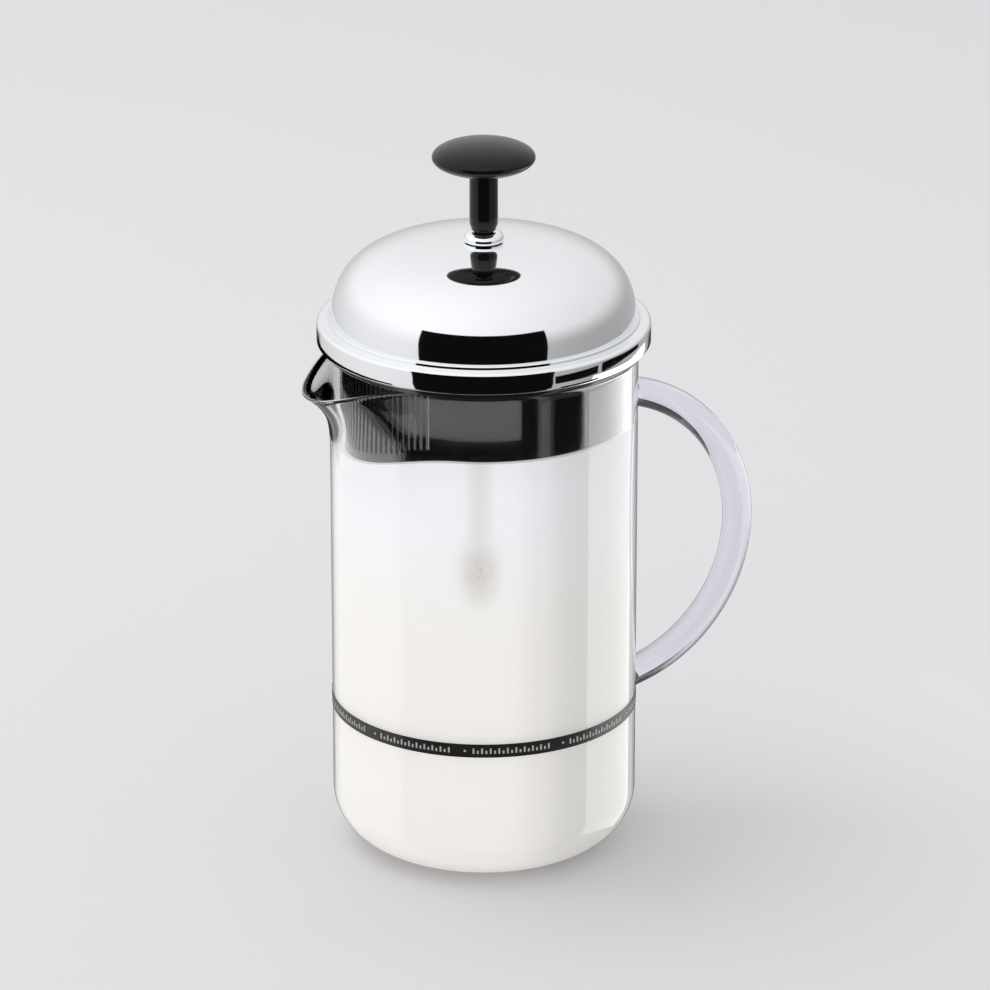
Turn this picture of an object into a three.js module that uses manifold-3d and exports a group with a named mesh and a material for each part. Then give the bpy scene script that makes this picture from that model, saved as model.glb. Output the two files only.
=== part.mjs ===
// A plunger milk frother, about 173 mm tall. A clear glass jug with a fused rod handle and a pulled
// spout holds a domed metal lid with a slotted strainer insert. A knob on a long rod works a head of
// wire mesh, held between two plates, up and down in the jug.
//
// Millimetres, +Z up. The origin is the centre of the jug's flat base, the handle points along +X
// and the spout along -X.
import * as THREE from 'three';
import { mergeVertices } from 'three/addons/utils/BufferGeometryUtils.js';
import Module from 'manifold-3d';

const wasm = await Module();
wasm.setup();

// ---- Driving dimensions ----------------------------------------------------------------------

const GAP = 0.3;                 // clearance between pieces that touch or screw together
const ROUND = 60;                // facets round a large turned piece
const ROUND_SMALL = 28;          // facets round a small turned piece
const ROUND_KNOB = 36;

const JUG_R = 36;                // outside of the glass wall
const JUG_WALL = 2;
const JUG_FLOOR = 3;
const JUG_CORNER_R = 13;         // outside radius between base and wall
const RIM_Z = 122.6;

const SPOUT_START_Z = 95.6;      // where the wall starts to lean out
const SPOUT_HALF_ANGLE = 40;     // degrees each side of -X
const SPOUT_PULL = 10.3;         // how far the lip stands out from the wall
const SPOUT_DIP = 5.6;           // how far the lip lies under the rim
const SPOUT_PULL_POWER = 2.2;    // how late the wall starts to lean
const SPOUT_DIP_POWER = 2.5;

const BAND_Z = 35.7;             // middle of the printed level band
const BAND_HEIGHT = 3.3;
const BAND_THICKNESS = 0.25;
const BAND_STANDOFF = 0.1;       // between the band and the glass
const BAND_BREAK = 10;           // degrees left unprinted each side of the handle

const HANDLE_ROD_R = 3.5;
const HANDLE_ARC_R = 37;         // centreline arc of the handle
const HANDLE_ARC_X = 30;
const HANDLE_ARC_Z = 69.8;
const HANDLE_REACH = Math.PI * 0.46;

const SKIRT_R = 38.9;            // outside of the lid's rim
const SKIRT_LOW_Z = 124.6;
const SKIRT_HEIGHT = 5.1;
const SHOULDER_R = 0.9;          // rounding between skirt and brim
const LID_WALL = 0.8;
const DOME_STEP = 0.8;           // width and height of the raised ring round the dome's foot
const DOME_R = 35.4;
const DOME_BASE_Z = 129.1;       // level where the dome's curve starts
const DOME_APEX_Z = 148.6;
const DOME_SIDE_POWER = 3.3;     // shape of the dome's superellipse
const DOME_TOP_POWER = 2.6;

const COLLAR_R = 33.6;           // outside of the strainer collar
const COLLAR_WALL = 1.6;
const COLLAR_LOW_Z = 106.6;
const TONGUE_DEPTH = 5.2;        // extra depth of the collar at the spout
const TONGUE_HALF_ANGLE = 55;
const TONGUE_ROOT = 2;           // how far under the deck the tongue starts
const FLANGE_R = 37.2;
const DECK_THICKNESS = 1.5;
const INSERT_HUB_WALL = 2.6;
const SLOT_COUNT = 33;
const SLOT_SPREAD = 86;          // degrees from the first slot to the last
const SLOT_WIDTH = 0.8;
const SLOT_FOOT = 2.3;           // solid band left under each slot
const SLOT_HEAD = 1;             // solid band left above each slot

const ROD_R = 2;
const ROD_LOW_Z = 12;
const ROD_CHAMFER = 0.4;
const BUSH_STEM_R = 3.5;
const BUSH_END = 1;              // length of the bush that shows under its nut
const BEAD_R = 4.7;
const BEAD_HEIGHT = 2;
const BEAD_ROUND_R = 1.65;
const BEAD_FOOT_ANGLE = -12;
const GUIDE_WASHER_R = 7;
const GUIDE_WASHER_HEIGHT = 1;
const GUIDE_NUT_FLATS = 11;
const GUIDE_NUT_HEIGHT = 3;
const SLEEVE_R = 3.3;
const SLEEVE_CHAMFER = 1.5;
const SLEEVE_INSET = 0.5;
const SLEEVE_ENTRY = 1.5;        // length of the sleeve inside the knob
const KNOB_R = 12;
const KNOB_HEIGHT = 7.8;
const KNOB_CENTRE_Z = 168.8;
const KNOB_INSERT_HEIGHT = 4;

const HEAD_Z = 14.4;             // top of the frothing head's hub
const HUB_HEIGHT = 4.4;
const HUB_R = 4.5;
const HUB_FLANGE_R = 8;
const HUB_FLANGE = 1.2;
const HUB_CHAMFER = 0.7;
const PLATE_R = 29.8;
const PLATE_SEGMENTS = 22;
const CROSS_PLATE_THICKNESS = 1;
const TOP_PLATE_THICKNESS = 0.8;
const SCREEN_THICKNESS = 0.3;
const RIM_WIDTH = 1;
const RIM_HEIGHT = 1.3;
const SPRING_RING_R = 32.5;
const SPRING_R = 1;
const HEAD_WASHER_R = 5.5;
const HEAD_WASHER_HEIGHT = 1;
const LOCKNUT_FLATS = 7;
const LOCKNUT_HEIGHT = 2.8;

// Windows of the head's plates: how many, between which radii, and half of each one's angle.
const CROSS_WINDOWS = { count: 4, innerR: 11, outerR: 26, halfAngle: 0.6 };
const TOP_WINDOWS = { count: 6, innerR: 12, outerR: 25, halfAngle: 0.38 };

// ---- Worked-out places -----------------------------------------------------------------------

const BORE_R = ROD_R + GAP;
const JUG_INNER_R = JUG_R - JUG_WALL;
const DECK_LOW_Z = RIM_Z + GAP;
const DECK_TOP_Z = DECK_LOW_Z + DECK_THICKNESS;
const BRIM_TOP_Z = SKIRT_LOW_Z + SKIRT_HEIGHT;
const BUSH_HOLE_R = BUSH_STEM_R + GAP;
const BEAD_LOW_Z = DOME_APEX_Z + GAP;
const BEAD_TOP_Z = BEAD_LOW_Z + BEAD_HEIGHT;
const GUIDE_WASHER_Z = DECK_LOW_Z - GAP - GUIDE_WASHER_HEIGHT;
const GUIDE_NUT_Z = GUIDE_WASHER_Z - GAP - GUIDE_NUT_HEIGHT;
const SLEEVE_LOW_Z = BEAD_TOP_Z + GAP;
const SLEEVE_TOP_Z = KNOB_CENTRE_Z - KNOB_HEIGHT / 2 + SLEEVE_ENTRY;
const KNOB_BORE_R = SLEEVE_R + GAP;
const KNOB_INSERT_Z = SLEEVE_TOP_Z + GAP;
const KNOB_ROOF_Z = KNOB_INSERT_Z + KNOB_INSERT_HEIGHT + GAP;
const ROD_TOP_Z = KNOB_INSERT_Z + KNOB_INSERT_HEIGHT - GAP;
const CROSS_PLATE_Z = HEAD_Z + GAP;
const SCREEN_Z = CROSS_PLATE_Z + CROSS_PLATE_THICKNESS + GAP;
const SCREEN_MIDDLE_Z = SCREEN_Z + SCREEN_THICKNESS / 2;
const TOP_PLATE_Z = SCREEN_Z + SCREEN_THICKNESS + GAP;
const HEAD_WASHER_Z = TOP_PLATE_Z + TOP_PLATE_THICKNESS + GAP;
const LOCKNUT_Z = HEAD_WASHER_Z + HEAD_WASHER_HEIGHT + GAP;

// ---- Materials -------------------------------------------------------------------------------

function finish(color, roughness, metalness) {
  return new THREE.MeshStandardMaterial({ color, roughness, metalness });
}

const GLASS = finish('#dfe6ea', 0.04, 0);
const ENAMEL = finish('#1b1b1c', 0.35, 0);
const CHROME = finish('#d9dbde', 0.05, 1);
const BLACK_PLASTIC = finish('#0d0d0e', 0.12, 0);
const SMOKY_PLASTIC = finish('#1a1918', 0.15, 0);
const STEEL = finish('#b9bbbd', 0.25, 1);
const BRASS = finish('#b08d4a', 0.3, 1);

// ---- Shape helpers ---------------------------------------------------------------------------

// A turned piece. The profile is a list of [radius, height], anticlockwise, with the axis at the
// left. A profile that doesn't start and end on the axis is closed on itself.
function turned(profile, facets = ROUND_SMALL) {
  const points = profile.map(([r, z]) => new THREE.Vector2(r, z));
  const last = points[points.length - 1];
  const onAxis = points[0].x === 0 && last.x === 0;
  if (!onAxis) points.push(points[0].clone());
  return new THREE.LatheGeometry(points, facets).rotateX(Math.PI / 2);
}

// Points of a circular arc in a profile, from one angle to another in degrees.
function arc(r, z, radius, fromDeg, toDeg, steps) {
  const points = [];
  for (let i = 0; i <= steps; i += 1) {
    const angle = THREE.MathUtils.degToRad(fromDeg + ((toDeg - fromDeg) * i) / steps);
    points.push([r + radius * Math.cos(angle), z + radius * Math.sin(angle)]);
  }
  return points;
}

// A straight run of a profile, cut into equal steps, without its first point.
function run([r0, z0], [r1, z1], steps) {
  const points = [];
  for (let i = 1; i <= steps; i += 1) {
    points.push([r0 + ((r1 - r0) * i) / steps, z0 + ((z1 - z0) * i) / steps]);
  }
  return points;
}

// 1 on the spout's side, falling smoothly to 0 at the half angle on either side of it.
function spoutLobe(x, y, halfAngleDeg) {
  const share = Math.abs(Math.atan2(y, -x)) / THREE.MathUtils.degToRad(halfAngleDeg);
  return share < 1 ? Math.cos((share * Math.PI) / 2) ** 2 : 0;
}

// Moves each vertex of a geometry by a function that edits its position.
function reshape(geometry, edit) {
  const position = geometry.attributes.position;
  const point = new THREE.Vector3();
  for (let i = 0; i < position.count; i += 1) {
    edit(point.fromBufferAttribute(position, i));
    position.setXYZ(i, point.x, point.y, point.z);
  }
  geometry.computeVertexNormals();
  return geometry;
}

// A closed geometry as a manifold solid.
function toSolid(geometry) {
  const bare = geometry.clone();
  bare.deleteAttribute('normal');
  bare.deleteAttribute('uv');
  const merged = mergeVertices(bare, 1e-4);
  const index = merged.index.array;
  const triangles = [];
  for (let i = 0; i < index.length; i += 3) {
    const [a, b, c] = [index[i], index[i + 1], index[i + 2]];
    if (a !== b && b !== c && c !== a) triangles.push(a, b, c);
  }
  const vertProperties = merged.attributes.position.array;
  const triVerts = new Uint32Array(triangles);
  return new wasm.Manifold(new wasm.Mesh({ numProp: 3, vertProperties, triVerts }));
}

// A manifold solid as a three.js geometry.
function toGeometry(solid) {
  const mesh = solid.getMesh();
  const geometry = new THREE.BufferGeometry();
  geometry.setAttribute('position', new THREE.BufferAttribute(mesh.vertProperties, 3));
  geometry.setIndex(new THREE.BufferAttribute(mesh.triVerts, 1));
  geometry.computeVertexNormals();
  return geometry;
}

// The first geometry with all the others cut out of it.
function cut(geometry, cutters) {
  let solid = toSolid(geometry);
  for (const cutter of cutters) solid = solid.subtract(toSolid(cutter));
  return toGeometry(solid);
}

// A flat plate with holes, standing on z = 0.
function plate(shape, thickness, curveSegments = 12) {
  return new THREE.ExtrudeGeometry(shape, { depth: thickness, bevelEnabled: false, curveSegments });
}

// A round disc outline with a bore in the middle.
function discOutline(radius) {
  const shape = new THREE.Shape().absarc(0, 0, radius, 0, Math.PI * 2);
  shape.holes.push(new THREE.Path().absarc(0, 0, BORE_R, 0, Math.PI * 2, true));
  return shape;
}

// A hexagonal nut with a bore, standing on z = 0.
function nut(acrossFlats, height, boreR) {
  const shape = new THREE.Shape();
  for (let corner = 0; corner < 6; corner += 1) {
    const angle = (corner * Math.PI) / 3;
    const radius = acrossFlats / Math.sqrt(3);
    const place = [radius * Math.cos(angle), radius * Math.sin(angle)];
    if (corner === 0) shape.moveTo(...place);
    else shape.lineTo(...place);
  }
  shape.closePath();
  shape.holes.push(new THREE.Path().absarc(0, 0, boreR, 0, Math.PI * 2, true));
  return plate(shape, height);
}

// A plain ring between two radii, standing on z = 0.
function ring(innerR, outerR, height, facets = ROUND_SMALL) {
  return turned([[innerR, 0], [outerR, 0], [outerR, height], [innerR, height]], facets);
}

function piece(name, geometry, material, z = 0) {
  const mesh = new THREE.Mesh(geometry, material);
  mesh.name = name;
  mesh.position.z = z;
  return mesh;
}

// ---- Jug -------------------------------------------------------------------------------------

// Leans the top of the wall out and down on the spout's side.
function pullSpout(point) {
  const height = (point.z - SPOUT_START_Z) / (RIM_Z - SPOUT_START_Z);
  if (height <= 0) return;
  const lobe = spoutLobe(point.x, point.y, SPOUT_HALF_ANGLE);
  const radius = Math.hypot(point.x, point.y);
  const grow = (radius + SPOUT_PULL * lobe * height ** SPOUT_PULL_POWER) / radius;
  point.x *= grow;
  point.y *= grow;
  point.z -= SPOUT_DIP * lobe * height ** SPOUT_DIP_POWER;
}

function jugGeometry() {
  const cornerIn = JUG_CORNER_R - JUG_WALL;
  const lipR = JUG_WALL / 2;
  const spoutSteps = 5;
  const profile = [
    [0, 0],
    ...arc(JUG_R - JUG_CORNER_R, JUG_CORNER_R, JUG_CORNER_R, -90, 0, 6),
    [JUG_R, SPOUT_START_Z],
    ...run([JUG_R, SPOUT_START_Z], [JUG_R, RIM_Z - lipR], spoutSteps),
    ...arc(JUG_R - lipR, RIM_Z - lipR, lipR, 45, 135, 2),
    [JUG_INNER_R, RIM_Z - lipR],
    ...run([JUG_INNER_R, RIM_Z - lipR], [JUG_INNER_R, SPOUT_START_Z], spoutSteps),
    ...arc(JUG_INNER_R - cornerIn, JUG_FLOOR + cornerIn, cornerIn, 0, -90, 4),
    [0, JUG_FLOOR],
  ];
  return reshape(turned(profile, ROUND), pullSpout);
}

// The handle's centreline, from its upper root to its lower one, in the plane y = 0.
class HandleArc extends THREE.Curve {
  getPoint(t) {
    const angle = HANDLE_REACH * (1 - 2 * t);
    const x = HANDLE_ARC_X + HANDLE_ARC_R * Math.cos(angle);
    const z = HANDLE_ARC_Z + HANDLE_ARC_R * Math.sin(angle);
    return new THREE.Vector3(x, 0, z);
  }
}

function handleGeometry() {
  const section = new THREE.Shape().absarc(0, 0, HANDLE_ROD_R, 0, Math.PI * 2);
  const rod = new THREE.ExtrudeGeometry(section, {
    steps: 28,
    extrudePath: new HandleArc(),
    curveSegments: 8,
  });
  const wallR = JUG_R + GAP;
  const jugSide = turned([[0, 0], [wallR, 0], [wallR, RIM_Z], [0, RIM_Z]], ROUND);
  return cut(rod, [jugSide]);
}

// The printed band, broken where the handle's lower root is.
function bandGeometry() {
  const innerR = JUG_R + BAND_STANDOFF;
  const from = THREE.MathUtils.degToRad(BAND_BREAK);
  const to = Math.PI * 2 - from;
  const shape = new THREE.Shape();
  shape.absarc(0, 0, innerR + BAND_THICKNESS, from, to, false);
  shape.absarc(0, 0, innerR, to, from, true);
  shape.closePath();
  return plate(shape, BAND_HEIGHT, ROUND / 2);
}

function makeJug() {
  const group = new THREE.Group();
  group.add(piece('glass_jug', jugGeometry(), GLASS));
  group.add(piece('glass_handle', handleGeometry(), GLASS));
  group.add(piece('level_band', bandGeometry(), ENAMEL, BAND_Z - BAND_HEIGHT / 2));
  return group;
}

// ---- Lid -------------------------------------------------------------------------------------

// The dome's superellipse as profile points from the brim to a hole, shrunk inwards by an offset.
function domeCurve(offset, holeR, steps) {
  const baseR = DOME_R - offset;
  const height = DOME_APEX_Z - offset - DOME_BASE_Z;
  const low = (BRIM_TOP_Z - DOME_BASE_Z) / height;
  const from = Math.asin(low ** (DOME_TOP_POWER / 2));
  const to = Math.acos((holeR / baseR) ** (DOME_SIDE_POWER / 2));
  const points = [];
  for (let i = 0; i <= steps; i += 1) {
    const angle = from + ((to - from) * i) / steps;
    const r = baseR * Math.cos(angle) ** (2 / DOME_SIDE_POWER);
    points.push([r, DOME_BASE_Z + height * Math.sin(angle) ** (2 / DOME_TOP_POWER)]);
  }
  return points;
}

function domeGeometry() {
  const innerR = SKIRT_R - LID_WALL;
  const brimInnerZ = BRIM_TOP_Z - LID_WALL;
  const stepR = DOME_R + DOME_STEP;
  const shoulder = arc(SKIRT_R - SHOULDER_R, BRIM_TOP_Z - SHOULDER_R, SHOULDER_R, 0, 90, 3);
  const profile = [
    [innerR, SKIRT_LOW_Z],
    [SKIRT_R, SKIRT_LOW_Z],
    ...shoulder,
    [stepR, BRIM_TOP_Z],
    [stepR - DOME_STEP / 2, BRIM_TOP_Z + DOME_STEP],
    ...domeCurve(0, BUSH_HOLE_R, 11).slice(1),
    ...domeCurve(LID_WALL, BUSH_HOLE_R, 8).reverse(),
    [DOME_R - LID_WALL, brimInnerZ],
    [innerR, brimInnerZ],
  ];
  return turned(profile, ROUND);
}

// Deepens the collar's lower edge into a smooth tongue on the spout's side.
function deepenTongue(point) {
  const high = DECK_LOW_Z - TONGUE_ROOT;
  if (point.z >= high) return;
  const share = (high - point.z) / (high - COLLAR_LOW_Z);
  point.z -= TONGUE_DEPTH * share * spoutLobe(point.x, point.y, TONGUE_HALF_ANGLE);
}

// One strainer slot through the collar, at an angle in radians from the spout's direction.
function strainerSlot(angle) {
  const middleR = COLLAR_R - COLLAR_WALL / 2;
  const x = -middleR * Math.cos(angle);
  const y = middleR * Math.sin(angle);
  const lobe = spoutLobe(x, y, TONGUE_HALF_ANGLE);
  const low = COLLAR_LOW_Z - TONGUE_DEPTH * lobe + SLOT_FOOT;
  const high = DECK_LOW_Z - SLOT_HEAD;
  const box = new THREE.BoxGeometry(COLLAR_WALL * 2, SLOT_WIDTH, high - low);
  return box.rotateZ(-angle).translate(x, y, (high + low) / 2);
}

function insertGeometry() {
  const hubR = BUSH_HOLE_R + INSERT_HUB_WALL;
  const hubTop = DOME_APEX_Z - LID_WALL - 2 * GAP;
  const innerR = COLLAR_R - COLLAR_WALL;
  const body = turned([
    [BUSH_HOLE_R, DECK_LOW_Z],
    [innerR, DECK_LOW_Z],
    [innerR, COLLAR_LOW_Z],
    [COLLAR_R, COLLAR_LOW_Z],
    [COLLAR_R, DECK_LOW_Z],
    [FLANGE_R, DECK_LOW_Z],
    [FLANGE_R, DECK_TOP_Z],
    [hubR, DECK_TOP_Z],
    [hubR, hubTop],
    [BUSH_HOLE_R, hubTop],
  ], ROUND);
  const slots = [];
  for (let i = 0; i < SLOT_COUNT; i += 1) {
    const degrees = SLOT_SPREAD * (i / (SLOT_COUNT - 1) - 0.5);
    slots.push(strainerSlot(THREE.MathUtils.degToRad(degrees)));
  }
  return cut(reshape(body, deepenTongue), slots);
}

function makeLid() {
  const group = new THREE.Group();
  group.add(piece('lid_dome', domeGeometry(), CHROME));
  group.add(piece('lid_insert', insertGeometry(), SMOKY_PLASTIC));
  return group;
}

// ---- Guide: the bush that clamps dome and insert together, and guides the rod ----------------

function bushGeometry() {
  const roundZ = BEAD_TOP_Z - BEAD_ROUND_R;
  const lowZ = GUIDE_NUT_Z - BUSH_END;
  return turned([
    [BORE_R, lowZ],
    [BUSH_STEM_R, lowZ],
    [BUSH_STEM_R, BEAD_LOW_Z],
    ...arc(BEAD_R - BEAD_ROUND_R, roundZ, BEAD_ROUND_R, BEAD_FOOT_ANGLE, 90, 6),
    [BORE_R, BEAD_TOP_Z],
  ]);
}

function makeGuide() {
  const group = new THREE.Group();
  const washer = ring(BUSH_HOLE_R, GUIDE_WASHER_R, GUIDE_WASHER_HEIGHT);
  const hexagon = nut(GUIDE_NUT_FLATS, GUIDE_NUT_HEIGHT, BUSH_HOLE_R);
  group.add(piece('guide_bush', bushGeometry(), CHROME));
  group.add(piece('guide_washer', washer, STEEL, GUIDE_WASHER_Z));
  group.add(piece('guide_nut', hexagon, STEEL, GUIDE_NUT_Z));
  return group;
}

// ---- Plunger: knob, sleeve, rod --------------------------------------------------------------

// A lens with a soft edge, hollowed from below for the sleeve and the threaded insert.
function knobGeometry() {
  const halfHeight = KNOB_HEIGHT / 2;
  const steps = 14;
  const profile = [[0, KNOB_ROOF_Z], [KNOB_BORE_R, KNOB_ROOF_Z]];
  const start = Math.acos(KNOB_BORE_R / KNOB_R);
  for (let i = 0; i <= steps; i += 1) {
    const angle = -start + ((start + Math.PI / 2) * i) / steps;
    const r = i === steps ? 0 : KNOB_R * Math.cos(angle);
    profile.push([r, KNOB_CENTRE_Z + halfHeight * Math.sin(angle)]);
  }
  return turned(profile, ROUND_KNOB);
}

function sleeveGeometry() {
  return turned([
    [BORE_R, SLEEVE_LOW_Z],
    [SLEEVE_R - SLEEVE_INSET, SLEEVE_LOW_Z],
    [SLEEVE_R, SLEEVE_LOW_Z + SLEEVE_CHAMFER],
    [SLEEVE_R, SLEEVE_TOP_Z],
    [BORE_R, SLEEVE_TOP_Z],
  ]);
}

function rodGeometry() {
  return turned([
    [0, ROD_LOW_Z],
    [ROD_R - ROD_CHAMFER, ROD_LOW_Z],
    [ROD_R, ROD_LOW_Z + ROD_CHAMFER],
    [ROD_R, ROD_TOP_Z - ROD_CHAMFER],
    [ROD_R - ROD_CHAMFER, ROD_TOP_Z],
    [0, ROD_TOP_Z],
  ]);
}

function makePlunger() {
  const group = new THREE.Group();
  const insert = ring(BORE_R, SLEEVE_R, KNOB_INSERT_HEIGHT);
  group.add(piece('knob', knobGeometry(), BLACK_PLASTIC));
  group.add(piece('knob_insert', insert, BRASS, KNOB_INSERT_Z));
  group.add(piece('knob_sleeve', sleeveGeometry(), BLACK_PLASTIC));
  group.add(piece('plunger_rod', rodGeometry(), STEEL));
  return group;
}

// ---- Frothing head: two plates, a mesh screen and an edge spring -----------------------------

// A kidney-shaped window between two radii, centred on an angle.
function kidney(innerR, outerR, middle, halfAngle) {
  const steps = 5;
  const points = [];
  for (let i = 0; i <= steps; i += 1) {
    const angle = middle - halfAngle + (2 * halfAngle * i) / steps;
    const outward = new THREE.Vector2(Math.cos(angle), Math.sin(angle));
    points.push(outward.clone().multiplyScalar(outerR));
    points.unshift(outward.clone().multiplyScalar(innerR));
  }
  return new THREE.Path(points);
}

function windowedPlate({ count, innerR, outerR, halfAngle }, thickness) {
  const shape = discOutline(PLATE_R);
  for (let i = 0; i < count; i += 1) {
    shape.holes.push(kidney(innerR, outerR, (i * Math.PI * 2) / count, halfAngle));
  }
  return plate(shape, thickness, PLATE_SEGMENTS);
}

function hubGeometry() {
  const lowZ = HEAD_Z - HUB_HEIGHT;
  const flangeZ = HEAD_Z - HUB_FLANGE;
  const floorZ = ROD_LOW_Z - GAP;
  return turned([
    [0, lowZ],
    [HUB_R - HUB_CHAMFER, lowZ],
    [HUB_R, lowZ + HUB_CHAMFER],
    [HUB_R, flangeZ],
    [HUB_FLANGE_R, flangeZ],
    [HUB_FLANGE_R, HEAD_Z],
    [BORE_R, HEAD_Z],
    [BORE_R, floorZ],
    [0, floorZ],
  ]);
}

function springGeometry() {
  return turned(arc(SPRING_RING_R, SCREEN_MIDDLE_Z, SPRING_R, 0, 300, 5), ROUND);
}

function makeHead() {
  const group = new THREE.Group();
  const crossPlate = windowedPlate(CROSS_WINDOWS, CROSS_PLATE_THICKNESS);
  const topPlate = windowedPlate(TOP_WINDOWS, TOP_PLATE_THICKNESS);
  const screen = plate(discOutline(PLATE_R), SCREEN_THICKNESS, PLATE_SEGMENTS);
  const rim = ring(PLATE_R + GAP, PLATE_R + GAP + RIM_WIDTH, RIM_HEIGHT, ROUND);
  const washer = ring(BORE_R, HEAD_WASHER_R, HEAD_WASHER_HEIGHT);
  const locknut = nut(LOCKNUT_FLATS, LOCKNUT_HEIGHT, BORE_R);
  group.add(piece('head_hub', hubGeometry(), STEEL));
  group.add(piece('cross_plate', crossPlate, STEEL, CROSS_PLATE_Z));
  group.add(piece('mesh_screen', screen, STEEL, SCREEN_Z));
  group.add(piece('screen_rim', rim, STEEL, SCREEN_MIDDLE_Z - RIM_HEIGHT / 2));
  group.add(piece('edge_spring', springGeometry(), STEEL));
  group.add(piece('top_plate', topPlate, STEEL, TOP_PLATE_Z));
  group.add(piece('head_washer', washer, STEEL, HEAD_WASHER_Z));
  group.add(piece('rod_locknut', locknut, STEEL, LOCKNUT_Z));
  return group;
}

// ---- Assembly --------------------------------------------------------------------------------

const frother = new THREE.Group();
frother.add(makeJug());
frother.add(makeLid());
frother.add(makeGuide());
frother.add(makePlunger());
frother.add(makeHead());

export default frother;
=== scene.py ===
"""A plunger milk frother: its fine surfaces and finishes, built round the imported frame.

Metres, +Z up. The jug's base is at the origin, its handle points along +X and its spout along -X.
"""

import math

import bpy
from bpy.props import FloatProperty, FloatVectorProperty, IntProperty, PointerProperty
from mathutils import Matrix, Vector


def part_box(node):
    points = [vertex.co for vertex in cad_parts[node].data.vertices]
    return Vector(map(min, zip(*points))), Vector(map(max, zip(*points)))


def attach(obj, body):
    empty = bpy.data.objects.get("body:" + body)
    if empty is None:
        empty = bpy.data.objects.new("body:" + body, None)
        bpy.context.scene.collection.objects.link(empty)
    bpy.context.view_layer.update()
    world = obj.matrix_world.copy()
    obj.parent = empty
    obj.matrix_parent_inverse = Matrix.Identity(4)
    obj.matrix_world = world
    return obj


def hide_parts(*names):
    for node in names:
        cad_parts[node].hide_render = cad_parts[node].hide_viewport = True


bl_info = {
    "name": "Milk Frother",
    "version": (1, 0, 0),
    "blender": (4, 5, 0),
    "location": "View3D > Sidebar > Frother",
    "description": "Builds a glass plunger milk frother with a chrome lid",
    "category": "Add Mesh",
}

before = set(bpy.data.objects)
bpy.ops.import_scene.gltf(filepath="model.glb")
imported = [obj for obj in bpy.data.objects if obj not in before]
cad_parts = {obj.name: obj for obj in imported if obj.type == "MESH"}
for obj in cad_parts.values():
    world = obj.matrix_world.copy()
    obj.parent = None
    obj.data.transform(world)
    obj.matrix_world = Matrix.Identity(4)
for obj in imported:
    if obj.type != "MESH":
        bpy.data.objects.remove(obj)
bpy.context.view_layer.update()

MM = 0.001
POLE = 0.0005 * MM        # radius that stands for the axis while a piece is being turned
WELD = 0.002 * MM         # vertices closer than this are merged
ROUND = 144               # facets round a large turned piece
ROUND_SMALL = 64          # facets round a small turned piece


# ---- Places taken from the frame -------------------------------------------------------------

def low(node):
    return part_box(node)[0]


def high(node):
    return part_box(node)[1]


JUG_R = high("glass_jug").y
RIM_Z = high("glass_jug").z
JUG_WALL = 2 * MM
JUG_INNER_R = JUG_R - JUG_WALL
ROD_R = high("plunger_rod").y
BORE_R = ROD_R + 0.25 * MM


# ---- Sizes and colours -----------------------------------------------------------------------

def length(name, description, default):
    return FloatProperty(name=name, description=description, default=default,
                         subtype="DISTANCE", unit="LENGTH", precision=5)


def colour(name, description, default):
    return FloatVectorProperty(name=name, description=description, default=default,
                               subtype="COLOR", size=3, min=0.0, max=1.0)


class FrotherSizes(bpy.types.PropertyGroup):
    """Sizes that the frame leaves open"""

    jug_floor: length("Jug floor", "Thickness of the jug's base", 3 * MM)
    jug_corner: length("Jug corner", "Outside radius between base and wall", 13 * MM)
    spout_start: length("Spout start", "Height where the wall starts to lean out", 95.6 * MM)
    spout_dip: length("Spout dip", "How far the lip lies under the rim", 5.6 * MM)
    handle_arc: length("Handle arc", "Radius of the handle rod's middle line", 37 * MM)
    dome_radius: length("Dome radius", "Radius of the dome where it meets the brim", 35.4 * MM)
    dome_base: length("Dome base", "Height where the dome's curve starts", 129.1 * MM)
    dome_side: FloatProperty(name="Dome side", description="How square the dome's wall is", default=3.3)
    dome_top: FloatProperty(name="Dome top", description="How square the dome's crown is", default=2.6)
    brim_height: length("Brim height", "Brim's top above the skirt's edge", 5.1 * MM)
    lid_wall: length("Lid wall", "Thickness of the lid's metal", 0.8 * MM)
    collar_low: length("Collar edge", "Height of the collar's lower edge away from the spout", 106.6 * MM)
    slot_width: length("Slot width", "Width of one strainer slot", 0.75 * MM)
    slot_count: IntProperty(name="Slots", description="Strainer slots on the spout's side", default=33)
    wire: length("Wire", "Thickness of the screen's wire", 0.34 * MM)
    wire_pitch: length("Wire pitch", "Distance between neighbouring wires", 1.4 * MM)
    spring_turns: IntProperty(name="Spring turns", description="Turns of the edge spring", default=132)


class FrotherColours(bpy.types.PropertyGroup):
    """Colours of the finishes, and of the painted shade on the handle's glass and in the froth"""

    glass: colour("Glass", "Tint of the jug's thin wall", (0.985, 0.99, 0.99))
    thick_glass: colour("Thick glass", "Tint of the handle's thick rod", (0.87, 0.885, 0.955))
    # Painted shade: a dark line painted along the handle rod's lower, outer edge, standing in for dark
    # surroundings seen through the glass.
    painted_glass_edge_shade: colour("Glass edge", "Dark lower edge of the handle's rod", (0.035, 0.035, 0.04))
    chrome: colour("Chrome", "Chrome plate", (0.925, 0.935, 0.95))
    black: colour("Black", "Knob and sleeve", (0.006, 0.006, 0.0065))
    smoky: colour("Smoky black", "Strainer insert", (0.014, 0.012, 0.011))
    steel: colour("Steel", "Rod, plates and fasteners", (0.56, 0.56, 0.57))
    brass: colour("Brass", "Threaded insert in the knob", (0.70, 0.50, 0.22))
    enamel: colour("Enamel", "Printed level band", (0.020, 0.020, 0.020))
    print_light: colour("Print", "Marks on the level band", (0.50, 0.50, 0.47))
    milk: colour("Milk", "Milk under the froth", (0.86, 0.84, 0.80))
    froth: colour("Froth", "Froth above the milk", (0.86, 0.86, 0.88))
    shade: colour("Shade", "Rod's shade in the froth", (0.56, 0.53, 0.49))
    floor: colour("Floor", "Studio floor", (0.87, 0.85, 0.87))


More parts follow.
